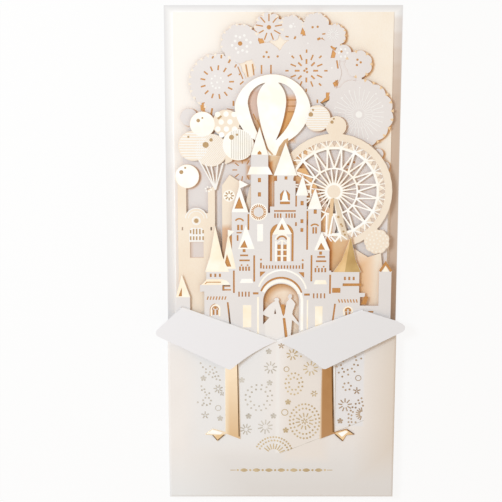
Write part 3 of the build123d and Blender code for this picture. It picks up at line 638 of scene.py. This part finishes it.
# White dots and fine white rays on the flowers
white_ink = card("white_ink", (253, 253, 251), (249, 248, 246), 0.35, 0.3)
pearls = dots([(-21.4, 144.3), (-19.6, 143.8), (-17.6, 144.6), (-16.6, 142.6), (-21.8, 142.1),
               (-23.1, 140.2), (-21.3, 138.8), (-20.4, 137), (-18.4, 137.9), (-16.4, 137.3),
               (-16.4, 139.7), (-14.8, 141.5)], 0.62, rosette, sides=10)
pearls += dots([(-32.4, 125.1), (-30, 123.4), (-32.5, 123.1), (-32, 121.7), (-30.6, 120.8),
                (-29, 121), (-27.4, 123.8), (-28.3, 125.4), (-30.9, 126.3)], 0.48, rosette, sides=10)
pearls += dots([(5.2, 148.6), (4.5, 149.9), (30.3, 119.5), (35, 121), (42.4, 118.2), (27, 116.4),
                (23.8, 111.5), (38.9, 97.5), (45.5, 112.7), (22.2, 130), (3, 136.6), (11.2, 141.1)],
               0.36, rosette, sides=10)
pearls += dots([(3.4, 148.7)], 0.85, rosette, sides=14)
right_eye = (34.8, 108.7)
pearls += dots([right_eye], 1.55, rosette, sides=20)
pearls += spokes(*right_eye, 2.6, 6.4, 0.2, 30, rosette)
pearls += spokes(*right_eye, 6.0, 11.6, 0.26, 30, rosette, 6)
pearls += spokes(22.5, 145.0, 1.0, 2.8, 0.24, 14, rosette)
pearls += dots(circle(*bud, 1.9, 6), 0.55, rosette, sides=10)
lay("rosette_pearls", pearls, white_ink)

# Park sheet: houses, balloons and a big wheel cut from cream card, with painted shade in brown where the
# castle stands before it. Pale foil is pressed on the wheel's bars, the hot-air balloon and some of the
# balloons.

# Painted shade behind the left cone, painted warm light beside the golden cone, at the wheel's foot and in
# the balloon's neck, then the deep painted shade behind the castle
park_light = layered(
    painted_light_and_shade([(-31.5, -23, 40, 58)], [], (228, 190, 156), 2.4),
    painted_light_and_shade([(33, 44, 18, 45)], [], (244, 212, 180), 3.4),
    painted_light_and_shade([(33, 40.5, 18, 41)], [], (236, 194, 148), 3.4),
    painted_light_and_shade([(12, 34, 33, 52.5)], [], (224, 182, 132), 3),
    painted_light_and_shade([(-9.5, 3.5, 77, 90.6)], [], (236, 206, 166), 1.2),
    painted_light_and_shade([(-23, -7.2, 6, 36.5), (6.2, 22.5, 6, 36.5), (-11, 9, 28.4, 36.5), (-14.5, 20.5, 34, 62),
            (-23.5, -13, 34, 56.5), (-15, -4, 58, 88), (-5, 9, 58, 81), (7, 21, 44, 70), (13, 24, 30, 54)],
           [], (214, 150, 88)),
)
cover_cut("park_sheet", card("ivory_card", (250, 239, 223), (246, 231, 211), 0.42, 0.2, park_light))
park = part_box("park_sheet")[1].z
pale_foil = foil("pale_foil", (255, 252, 246), (255, 247, 232), 0.3)
wheel = (23.7, 73.2)
bays_round = 20
bars = [strip(circle(*wheel, radius, 60), width, park, closed=True)
        for radius, width in ((3.55, 1), (10.8, 0.75), (20.3, 1.1))]
bars += spokes(*wheel, 3.9, 10.5, 0.5, 24, park, 7.5)
for way in (-1, 1):
    feet = circle(*wheel, 11.1, bays_round, way)
    bars += dashes(feet, circle(*wheel, 19.9, bays_round, 8.5 * way), 0.72, park)
for way in (-1, 0, 1):
    tips = circle(*wheel, 24.0 - 0.4 * abs(way), bays_round, 9 + 7 * way)
    bars += dashes(circle(*wheel, 20.5, bays_round, 9), tips, 0.5, park)
bars += strips([
    ([(23.4, 61.5), (21.6, 51.5)], 0.8), ([(21.8, 52.6), (27.2, 52.6)], 0.8),
    ([(22.4, 51.9), (24.6, 49.6), (27, 52.2)], 0.8),
], park)
lay("wheel_foil", bars, pale_foil)
lay("wheel_legs", [plate([(23.6, 70.2), (25.4, 69.6), (31.2, 50.4), (28, 50.4)], park, 2)],
    card("leg_cream", (236, 221, 199), (228, 211, 186), 0.42, 0.2))
lay("wheel_prop", [plate([(22.2, 69.8), (23.8, 70.2), (22.9, 52.9), (20.9, 52.9)], park, 2)],
    card("leg_gold", (240, 210, 170), (230, 196, 154), 0.42, 0.2))
# Films painted with light and shade on the back of the sheet, behind the rim's bays, the left part of the
# wheel and the doorway
park_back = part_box("park_sheet")[0].z - film
bays = [strip(circle(*wheel, 22.2, 60), 3.4, park_back, closed=True)]
bays += plates([
    [(-40.8, 99.4), (-36.8, 99.4), (-37, 101.6), (-40.2, 101.6)],
    block(-23.6, -19.4, 100.2, 103.2),
], park_back)
tan_shade = painted_light_and_shade([(-5, 15.5, 74, 100)], [], (224, 180, 128), 4)
lay("park_backing", bays,
    card("shade_film_tan", (233, 218, 204), (225, 208, 192), 0.5, 0.0, tan_shade))
# Painted warm light and shade behind the wheel's left part, fading to lilac
glow = [(4, 46), (22, 46), (25, 56), (24, 62), (20, 68), (15.5, 76), (10.5, 84), (4, 84)]
glow_shade = painted_light_and_shade([(-5, 24, 36, 67), (-5, 19, 60, 82), (-5, 15, 70, 96)], [], (236, 190, 134), 3.6)
lay("wheel_glow", [plate(glow, park_back)],
    card("glow_film", (230, 221, 216), (224, 214, 209), 0.5, 0.0, glow_shade))
# Doorway: lilac film with painted shade to its left
door_shade = painted_light_and_shade([(-46, -41.2, 38, 60)], [], (208, 170, 138), 2.6)
lay("doorway", [plate(block(-43.6, -36.1, 41.2, 49.8), park_back)],
    card("doorway_lilac", (232, 223, 219), (226, 216, 212), 0.5, 0.0, door_shade))
# Hot-air balloon: foil on its two outer gores, the middle gore, the cap and the neck
crown_left, crown_right = np.array_split(arc((-22, 113), (-4.8, 127.2), (12.4, 113), 29), [14])
left_gore = np.vstack([
    crown_left, [(-4.8, 127.2)], arc((-8, 123.5), (-14.5, 119.3), (-16.1, 114)),
    arc((-16.1, 114), (-13, 103.5), (-6, 91.5))[1:], [(-8.5, 90.1), (-11, 96.3)],
    arc((-11, 96.3), (-19.2, 103.5), (-22, 113))[1:-1],
])
right_gore = np.vstack([
    crown_right, arc((12.4, 113), (9.5, 103.5), (1.3, 96.3))[1:], [(-1.5, 90.1), (-6, 91.5)],
    arc((-3.3, 97), (3, 105), (6.2, 114.5)), arc((6.2, 114.5), (3.9, 120.4), (-2.3, 123.6))[1:],
])
middle_gore = np.vstack([
    arc((-8, 123.5), (-11.2, 118.8), (-11.8, 114)), arc((-11.8, 114), (-9.8, 103), (-6, 91.5))[1:],
    arc((-3.3, 97), (0, 106), (1.4, 114)), arc((1.4, 114), (0.8, 118.8), (-2.3, 123.6))[1:],
])
cap = [(-8.2, 123.3), (-2.1, 123.4), (-4, 126.9), (-5.6, 126.9)]
neck = [(-6.4, 92), (-3.2, 97.2), (1.2, 96.2), (-1.5, 90.2), (-8.3, 90.2)]
gores = plates([left_gore, right_gore, middle_gore, cap, neck], park)
lay("hot_air_balloon_foil", gores, pale_foil)
# Painted shade: gold over the lower end of the balloon's neck and its left edge
lay("balloon_neck_shade", [plate([(-3.2, 89.9), (-1.8, 94), (0.6, 97.2), (2.5, 98.2), (2.5, 89.9)], park, 2),
                     strip([(-8.6, 97), (-7, 93), (-4.6, 90.3)], 0.8, park, 2)],
    card("neck_gold", (222, 188, 148), (206, 166, 118), 0.42, 0.2))
# Balloons and tree: foil faces and spots, white lines, fine grey stripes, and pin holes painted brown for
# the beam's browning and the shade inside them
badge = (-24.7, 71.2)
discs = [plate(circle(*disc, 40), park) for disc in (*foil_balloons, (*badge, 2.7))]
discs += dots([(-29.8, 109), (-26, 109.2), (-22.3, 109), (-28.2, 105.5), (-24.2, 105.6),
               (-29.7, 102.3), (-25.8, 102.3), (-22.1, 102.3), (-28, 99.6), (-24, 99.4)],
              1.25, park, sides=16)
discs += dots([(-35.6, 74.6), (-34.6, 75.3), (-33.4, 75.2), (-33, 74), (-34, 73.3), (-35.2, 73.5)],
              0.42, park)
lay("balloon_foil", discs, pale_foil)
leaves = []
for radius, count in ((4.9, 17), (3.2, 10), (1.5, 5)):
    leaves += dots(circle(44.0, 49.5, radius, count, 7 * radius), 0.45, park, sides=10)
lay("tree_dots", leaves, card("tree_dot", (255, 250, 240), (252, 245, 231), 0.4, 0.2))


def hatch(x, y, radius, pitch, width, turn):
    """Parallel stripes across a disc: each is the chord at its own distance from the centre."""
    offset = np.arange(-radius + pitch, radius - pitch / 2, pitch)
    half = np.sqrt(radius ** 2 - offset ** 2) - 0.15
    c, s = math.cos(math.radians(turn)), math.sin(math.radians(turn))
    near, far = (np.column_stack([x + reach * c - offset * s, y + reach * s + offset * c])
                 for reach in (-half, half))
    return dashes(near, far, width, park)


lines = hatch(-41.0, 94.5, 6.8, 1.25, 0.55, 0)
lines += hatch(*striped_balloon, 1.05, 0.5, 0)
lines += hatch(-33.0, 92.5, 7.4, 0.75, 0.25, 50)
tie = (-31, 74)
for start in ((-38.5, 88), (-35.5, 86), (-33, 85.5), (-30, 86), (-27.5, 86.5)):
    lines.append(strip([start, tie], 0.5, park))
lines += [
    strip(arc((-45, 60.5), (-40, 65.3), (-35, 60.5), 20), 0.45, park),
    strip(arc((-43.6, 60.5), (-40, 63.9), (-36.4, 60.5), 20), 0.35, park),
    strip(circle(-40.0, 59.4, 1.75, 20), 0.7, park, closed=True),
    plate([(-43.4, 49.4), (-36.5, 49.4), (-36.5, 54.5), (-37.4, 56), (-42.5, 56), (-43.4, 54.5)], park),
]
lay("park_lines", lines, white_ink)
across = np.arange(-23.6, -13.6, 0.85)
reach = np.sqrt(50 - (across + 20.5) ** 2) - 0.2
fine = dashes(np.column_stack([across, 95 - reach]), np.column_stack([across, 95 + reach]), 0.3, park + film)
lay("balloon_stripes", fine, card("stripe_grey", (222, 216, 204), (208, 200, 186), 0.4, 0.2))
holes = []
for x, y, radius in (
    (-38.7, 106.2, 0.85), (-36.8, 107.4, 0.45), (-46.7, 82.3, 0.95), (-44.9, 84.3, 0.5), (-23.5, 98.5, 1.15),
    (-21, 99.7, 0.55), (-35.4, 95, 1.4), (-32.9, 97.3, 0.8), (-43.3, 98.7, 0.5), (12.7, 109, 1.05),
    (13.7, 111.1, 0.5), (22.4, 105.5, 0.75), (23.2, 107, 0.45), (-40, 59.4, 1), (28.4, 54.3, 0.5),
    (29.1, 52.8, 0.5), (27.2, 57.7, 0.5), (27.8, 56.9, 0.45), (25.9, 61.2, 0.6),
):
    holes += dots([(x, y)], radius, park, 3, 14)
holes += spokes(*badge, 0.9, 2.2, 0.6, 8, park, layers=3)
for x, low, high in ((-42.7, 53.4, 55.0), (-41.3, 53.0, 55.5), (-39.9, 53.0, 55.6), (-38.4, 53.0, 55.5),
                     (-36.9, 53.4, 55)):
    holes += strips([([(x, low), (x, high)], 0.7), ([(x, 50.2), (x, 52.0)], 0.7)], park, 3)
holes.append(strip([(-29.8, 107), (-28.1, 108.3)], 0.9, park, 3))
lay("park_pin_holes", holes, burn_and_shade_card("pin_burn_and_shade", (206, 176, 134), (182, 148, 106)))
# Painted light and shade on the sheet behind the castle's gate: a pale lit field, with painted shade to the
# left and under the arch
gate = [(-10.6, 2), (9.8, 2), (9.8, 24), (6.4, 30.2), (-0.5, 32), (-7.4, 30.6), (-10.6, 24)]
gate_light = painted_light_and_shade([(-8.6, 14, -10, 21)], [(0, 20.4, 7.6)], (252, 236, 216), 3)
lay("gate_glow", [plate(gate, park)],
    card("gate_glow", (224, 178, 130), (216, 166, 116), 0.5, 0.0, gate_light))

# Castle sheet: towers, spires and gate with a couple, cut from white card and browned along the cuts.
# Pale foil is pressed on the roofs, frames, ledges and arches, and glitter gold on one cone roof.
# Painted light: the couple in the gate lighter than the walls
couple_light = tinted((-8.4, 7.4, -2, 23, 0.8), (243, 240, 238))
cover_cut("castle_sheet", card("white_card", (236, 233, 232), (230, 227, 227), 0.42, 0.2, couple_light))
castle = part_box("castle_sheet")[1].z
# Brown film of painted shade on the back of the sheet, behind its windows and slots, between the two figures
# and under the gate's arch
castle_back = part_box("castle_sheet")[0].z - film
panels = plates([block(*sides) for sides in (
    (-48.6, -44.4, 15, 20), (-35.4, -25, 11.5, 25.4), (-37.6, -24.4, 26.4, 28.6),
    (-34.6, -25, 29.4, 35), (-23.4, -9.4, 9, 36.2), (8.4, 23.2, 9, 35), (-9.4, 8.4, 31.6, 39.4),
    (-13.6, 14.4, 34, 57.6), (-20.2, -13.6, 35, 47), (14.4, 21.3, 35, 47),
    (-22.8, -14.6, 46.8, 62.8), (-14.2, 11.4, 57.6, 63), (-14, -7.2, 68.6, 80.8),
    (-5.2, 10.6, 62.4, 66), (-3.2, 5.3, 66, 77.8), (7, 10.7, 65.6, 71.4), (11.6, 17.2, 45, 64.8),
    (0, 3, 78.4, 80.8), (23.2, 35.6, 11.5, 24.6), (24, 37.8, 23.6, 25), (23.2, 35.4, 25.2, 34.8),
    (38.4, 44.6, 11, 18.4), (5.5, 7, 66, 71.6), (10.7, 11.6, 60.6, 64.8),
)], castle_back)
panels += plates([
    [(-48.9, 23.2), (-46.2, 23.2), (-46.5, 28.6)],
    [(-22.6, 65), (-17.6, 65), (-20, 72)],
    [(-20, 46.7), (-15.8, 46.7), (-17.5, 51.4)],
    [(15.8, 45.8), (20.4, 45.8), (18, 50.2)],
    [(-27.6, 37.2), (-23.2, 37.2), (-24.8, 44.8), (-26.2, 44.8)],
    [(-25.6, 43.6), (-22.8, 43.6), (-22.8, 52.6), (-24.9, 52.6)],
], castle_back)
panels += strips([
    ([(0.2, 19.5), (1.3, 11.5), (2.4, 3)], 1.7),
    (arc((-9.85, 26), (-0.3, 32.55), (9, 25.3), 24), 1.7),
], castle_back)
lay("castle_backing", panels, burn_and_shade_card("shade_film_brown", (222, 168, 108), (188, 130, 72)))


def framed(outer, inner):
    """Foil between an outline and an opening of as many corners: one plate to a side."""
    sides = zip(outer, [*outer[1:], outer[0]], [*inner[1:], inner[0]], inner)
    return plates(sides, castle)


roofs = plates([
    [(-14.5, 90.7), (-6.9, 90.7), (-10.7, 103.2)],
    [(-16, 81.6), (-4.9, 81.6), (-6.7, 85.1), (-14.8, 85.1)],
    [(-4, 81.1), (6.4, 81.1), (1.3, 96.2)],
    [(6.2, 71.7), (11.7, 71.7), (9.2, 81.3)],
    [(11.7, 65.3), (18.2, 65.3), (15, 75)],
    [(-20, 75.1), (-19.6, 75.1), (-16, 76.8), (-19.6, 78.7), (-20, 78.7)],
    [(-25.3, 52.2), (-24.9, 52.2), (-22.4, 54.8), (-25.3, 55.4)],
    block(-11.7, -9, 50, 58.2),
    [(-19.9, 30), (-13.5, 30), (-14.3, 32), (-18.9, 32)],
    [(-0.9, 69), (3.1, 69), (2.2, 70.2), (2, 72.4), (1.6, 73.6), (0.6, 73.6), (0.2, 72.4), (0, 70.2)],
], castle)
roofs += framed([(-23.5, 63.8), (-15.9, 63.8), (-19.9, 76.2)], [(-22.2, 65.5), (-18.1, 65.5), (-20, 71.2)])
roofs += framed([(-20.6, 46.3), (-12.9, 46.3), (-17, 57.8)], [(-19.6, 47), (-16.2, 47), (-17.6, 50.6)])
roofs += framed([(14.8, 45.7), (21.9, 45.7), (18.3, 54.6)], [(16.3, 46), (19.9, 46), (18, 49.4)])
roofs += framed([(-4.7, 53.3), (4.5, 53.3), (0, 61.4)], [(-1.7, 55.4), (1.1, 55.4), (-0.3, 58.6)])
roofs += strips([
    ([(-3, 40.4), (-3, 50.2)], 0.9), ([(2.8, 40.4), (2.8, 52)], 1.5),
    ([(-0.15, 40.4), (-0.15, 50.2)], 0.75),
    (arc((-3.2, 50.6), (-0.2, 53.4), (2.9, 50.6)), 0.7), (arc((-2.3, 49), (-0.2, 50.4), (1.9, 49)), 0.5),
    (arc((-8.8, 25.6), (-0.4, 31), (8.1, 24.8), 24), 1.5),
    (arc((-10.9, 28.2), (-0.2, 36.2), (11.2, 27.2), 24), 0.8),
    ([(8.5, 25.2), (9.3, 22), (9.3, 6.4)], 1.3),
], castle)
round_window = (-11.1, 63.9)
roofs.append(strip(circle(*round_window, 3.15, 36), 1.9, castle, closed=True))
lay("castle_foil", roofs, pale_foil)
warm_foil = foil("warm_foil", (255, 246, 228), (254, 236, 208), 0.34)
warm = plates([
    [(-36, 35.4), (-24.8, 35.4), (-27.9, 42.7), (-31.2, 57), (-33.7, 42.7)],
    block(-18.4, -14.5, 8.4, 19.3),
    block(15.5, 19, 8.2, 18.7),
    [(14.6, 29.4), (20.9, 29.4), (20.3, 31.4), (15.6, 31.4)],
    [(-38, 29), (-24.2, 29.2), (-26, 31.2), (-28.4, 31.8), (-35.2, 31.8)],
], castle)
warm += framed([(-49.8, 23.1), (-43.2, 23.1), (-47, 33.9)], [(-48.6, 23.6), (-47, 23.6), (-47, 27.8)])
warm += framed([(-27.9, 36.9), (-21.7, 36.9), (-25.1, 54)], [(-27.2, 37.9), (-23.8, 37.9), (-25.8, 43.9)])
left_niche = arc((-33.3, 16.6), (-31.35, 19.4), (-29.4, 16.6))
right_niche = arc((29.2, 15.4), (30.95, 18.4), (32.7, 15.4))
warm += strips([
    ([(-11.3, 4.6), (-11.3, 23.2)], 0.9), ([(11.9, 6.8), (11.9, 21.8)], 0.7),
    ([(-2.6, 43), (2, 43)], 0.6), ([(-2.6, 46), (2, 46)], 0.6),
    (np.vstack([[(-33.3, 13.9)], left_niche, [(-29.4, 13.9)]]), 0.75),
    (np.vstack([[(29.2, 12.4)], right_niche, [(32.7, 12.4)]]), 0.6),
], castle)
warm.append(plate([(46.7, 35.5), (49.7, 35.5), (48.2, 38.3)], castle))
lay("castle_warm_foil", warm, warm_foil)
# Golden cone roof: glitter with painted shade on its right half, and a left half with painted light
lay("cone_glitter", [plate([(29.2, 35.3), (36.7, 35.3), (34.2, 41), (31.7, 52.2), (30, 41)], castle)],
    foil("glitter_gold", (202, 168, 112), (178, 142, 90), 0.42, 4000.0))
lay("cone_glow", [plate([(23.8, 35.3), (29.2, 35.3), (30, 41), (31.7, 52.2), (27.7, 41)], castle)],
    foil("glow_gold", (234, 198, 146), (216, 174, 118), 0.4, 3000.0))
# Painted cut-outs on the face: slots and pin holes brown for the beam's browning and the shade inside them,
# and painted shade on the ledges
cuts = dots([(-19, 38.6), (-16.2, 38.6), (16.3, 37.9), (19.3, 37.9)], 0.45, castle, sides=6)
cuts += dots([(-9.95, 41.3), (9.5, 41)], 0.5, castle, sides=6)
for start, y, lean in ((-34.9, 22.7, 0.25), (26.7, 21.3, -0.25)):
    x = start + 1.38 * np.arange(7)
    y = np.full(len(x), y)
    cuts += dashes(np.column_stack([x - lean, y - 0.8]), np.column_stack([x + lean, y + 0.8]), 0.55, castle)
cuts += strips([
    (arc((-21.8, 59.8), (-20, 60.75), (-18.1, 59.6), 9), 0.7),
    (arc((13.2, 57.3), (14.9, 58.15), (16.7, 57.3), 9), 0.7),
], castle)
cuts += plates([
    [(-11.6, 90.8), (-9.8, 90.8), (-9.8, 91.7), (-10.7, 92.6), (-11.6, 91.7)],
    [(28.2, 28.5), (37, 28.6), (37, 29.8), (29, 29.8)],
    block(23.4, 27.2, 25.3, 27.6),
    [(36.9, 19.6), (39.4, 19.6), (40.3, 23.4), (38.6, 23.6)],
    [(-36.2, 29.6), (-35.4, 30.6), (-28.6, 30.6), (-28.6, 30.2), (-35.2, 30.2), (-35.9, 29.4)],
    [(-27.8, 26.4), (-24, 26.4), (-24, 27), (-27.2, 27), (-27.2, 28.4), (-27.8, 28.4)],
    [(40.6, 15.8), (42.8, 15.6), (42.8, 16.5)],
    block(11.7, 12.6, 24, 24.9),
], castle, 2)
cuts += spokes(*round_window, 2.3, 3.6, 0.5, 24, castle, 7.5, 2)
cuts += dots([(-31.35, 17.9), (-15.4, 6.3)], 0.62, castle, 2, 10)
cuts += strips([
    (np.vstack([[(-33.8, 13.9)], arc((-33.8, 16.8), (-32.8, 19.2), (-31.4, 19.9), 8)]), 0.3),
    (arc((-32.7, 17), (-31.35, 18.6), (-30, 17)), 0.4),
    (arc((29.9, 16.2), (30.95, 17.7), (32, 16.2)), 0.8),
    ([(30.2, 16.2), (30.2, 16.9)], 0.8), ([(31.7, 16.2), (31.7, 16.9)], 0.8),
    ([(45.6, 35.6), (48.2, 39.6), (50.8, 35.6)], 1.15),
], castle, 2)
lay("castle_slots", cuts, burn_and_shade_card("cut_burn_and_shade", (216, 160, 98), (182, 126, 70)))

# Ribbons: strips of gold foil card glued down the box, each with a notched tail turned out at its foot.
# Both carry painted light and shade: a tone running from top to foot, a painted highlight down the left
# side, a dark painted shadow along the right edge with a painted white highlight beside the right one's, and
# painted highlights and shade on the tails.
ribbon_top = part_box("ribbon_left")[1].z
ribbon_run = (-0.053, -0.086)


def ribbon(name, pale, deep, side, wide):
    """Gold foil with painted light: one tone at the top runs to another at the foot, and a painted highlight
    lies down its left side.
    """
    def dress(tree, place, colour):
        axes = node(tree, "ShaderNodeSeparateXYZ", {0: place}).outputs
        # Painted light: the tone runs from top to foot, then a paler painted highlight down the left side
        colour = blend(tree, ramp(tree, axes["Y"], *ribbon_run), colour, tone(*deep))
        over = maths(tree, "MULTIPLY", ramp(tree, axes["X"], side + wide, side), 0.7)
        return blend(tree, over, colour, tone(250, 232, 204))
    return foil(name, pale, [part + 9 for part in pale], 0.32, 2400.0, dress)


cover("ribbon_left", ribbon("ribbon_pale_gold", (246, 222, 190), (222, 186, 142), -0.0268, 0.0022))
cover("ribbon_right", ribbon("ribbon_deep_gold", (174, 126, 78), (184, 138, 94), 0.0185, 0.0009))
lay("ribbon_tails", plates([
    [(25.7, -43.7), (31.2, -42.1), (34.5, -44.4), (30.9, -44.9), (29.3, -47.6), (26, -44.7)],
    [(-32.4, -45.1), (-27.5, -44.5), (-30.9, -47.6)],
], ribbon_top), foil("tail_gold", (238, 206, 160), (226, 190, 142), 0.34))
# Painted highlights on the two tails
lay("ribbon_sheen", plates([
    [(-35.9, -44.2), (-33, -42.1), (-28.2, -43.6), (-29.4, -44.6), (-32.6, -44.3)],
    [(27, -44), (30.7, -42.6), (31.9, -43.2), (28.9, -45.8)],
], ribbon_top, 2), pale_foil)
# Painted shadow: dark lines along the ribbons' right edges and on the tails' folded edges
lay("ribbon_edge_shadows", strips([
    ([(-21.1, -2.2), (-20.3, -45.6)], 0.5), ([(23.7, -2.2), (24.8, -43.4)], 0.8),
    ([(25.8, -44.6), (29.3, -47.8)], 0.55), ([(31.5, -42.2), (34.6, -44.4)], 0.4),
    ([(-33, -44.9), (-30.8, -47.5)], 0.35), ([(-30.6, -47.6), (-27.4, -44.7)], 0.4),
], ribbon_top, 3), foil("ribbon_edge_shade", (132, 96, 60), (96, 64, 36), 0.4))
# Painted highlight: a white line beside the right ribbon's dark edge
lay("ribbon_rim_highlight", [plate([(24.1, -2.2), (25.2, -2.2), (25.2, -43.3)], ribbon_top)], white_ink)

# Floor, light and camera: a white table under the card, in an open white room with warm light in its
# shade. A soft, cool lamp stands to the upper left, and the camera looks down from the card's top end.


def seen(tree):
    """One on rays from the camera, from gloss and through glass, which see the plain white room."""
    ray = node(tree, "ShaderNodeLightPath").outputs
    bounced = maths(tree, "MAXIMUM", ray["Is Glossy Ray"], ray["Is Transmission Ray"])
    return maths(tree, "MAXIMUM", ray["Is Camera Ray"], bounced)


scene = bpy.context.scene
floor_mesh = bpy.data.meshes.new("floor")
floor_mesh.from_pydata([(-3, -3, 0), (3, -3, 0), (3, 3, 0), (-3, 3, 0)], [], [(0, 1, 2, 3)])
floor = bpy.data.objects.new("floor", floor_mesh)
scene.collection.objects.link(floor)
table = bpy.data.materials.new("white_table")
tree = bare(table)
plain = node(tree, "ShaderNodeBsdfDiffuse", {"Color": (0.9, 0.9, 0.9, 1.0)})
bright = node(tree, "ShaderNodeEmission", {"Color": (1.0, 1.0, 1.0, 1.0), "Strength": 1.0})
share = maths(tree, "MULTIPLY", seen(tree), 0.85)
mix = node(tree, "ShaderNodeMixShader", {0: share, 1: plain.outputs[0], 2: bright.outputs[0]})
node(tree, "ShaderNodeOutputMaterial", {"Surface": mix.outputs[0]})
floor_mesh.materials.append(table)

world = bpy.data.worlds.new("white_room")
scene.world = world
tree = bare(world)
room = node(tree, "ShaderNodeBackground", {"Color": (1.0, 0.86, 0.72, 1.0), "Strength": 0.72})
white_room = node(tree, "ShaderNodeBackground", {"Color": (1.0, 1.0, 1.0, 1.0), "Strength": 1.0})
mix = node(tree, "ShaderNodeMixShader", {0: seen(tree), 1: room.outputs[0], 2: white_room.outputs[0]})
node(tree, "ShaderNodeOutputWorld", {"Surface": mix.outputs[0]})

lamp = bpy.data.lights.new("window_lamp", "AREA")
lamp.shape = "DISK"
lamp.size = 0.2
lamp.energy = 2.15
lamp.color = (0.68, 0.85, 1.0)
key = bpy.data.objects.new("window_lamp", lamp)
key.location = (-0.33, 0.22, 0.556)
key.rotation_euler = (-key.location).to_track_quat("-Z", "Y").to_euler()
scene.collection.objects.link(key)

lens = bpy.data.cameras.new("camera")
lens.sensor_width = 36.0
lens.sensor_fit = "HORIZONTAL"
lens.lens = 102.58
lens.clip_start = 0.01
camera = bpy.data.objects.new("camera", lens)
camera.location = (-0.01387, 0.15819, 0.65396)
camera.rotation_euler = (math.radians(-13.315), math.radians(0.061), math.radians(-0.016))
scene.collection.objects.link(camera)
scene.camera = camera
scene.view_settings.view_transform = "Standard"
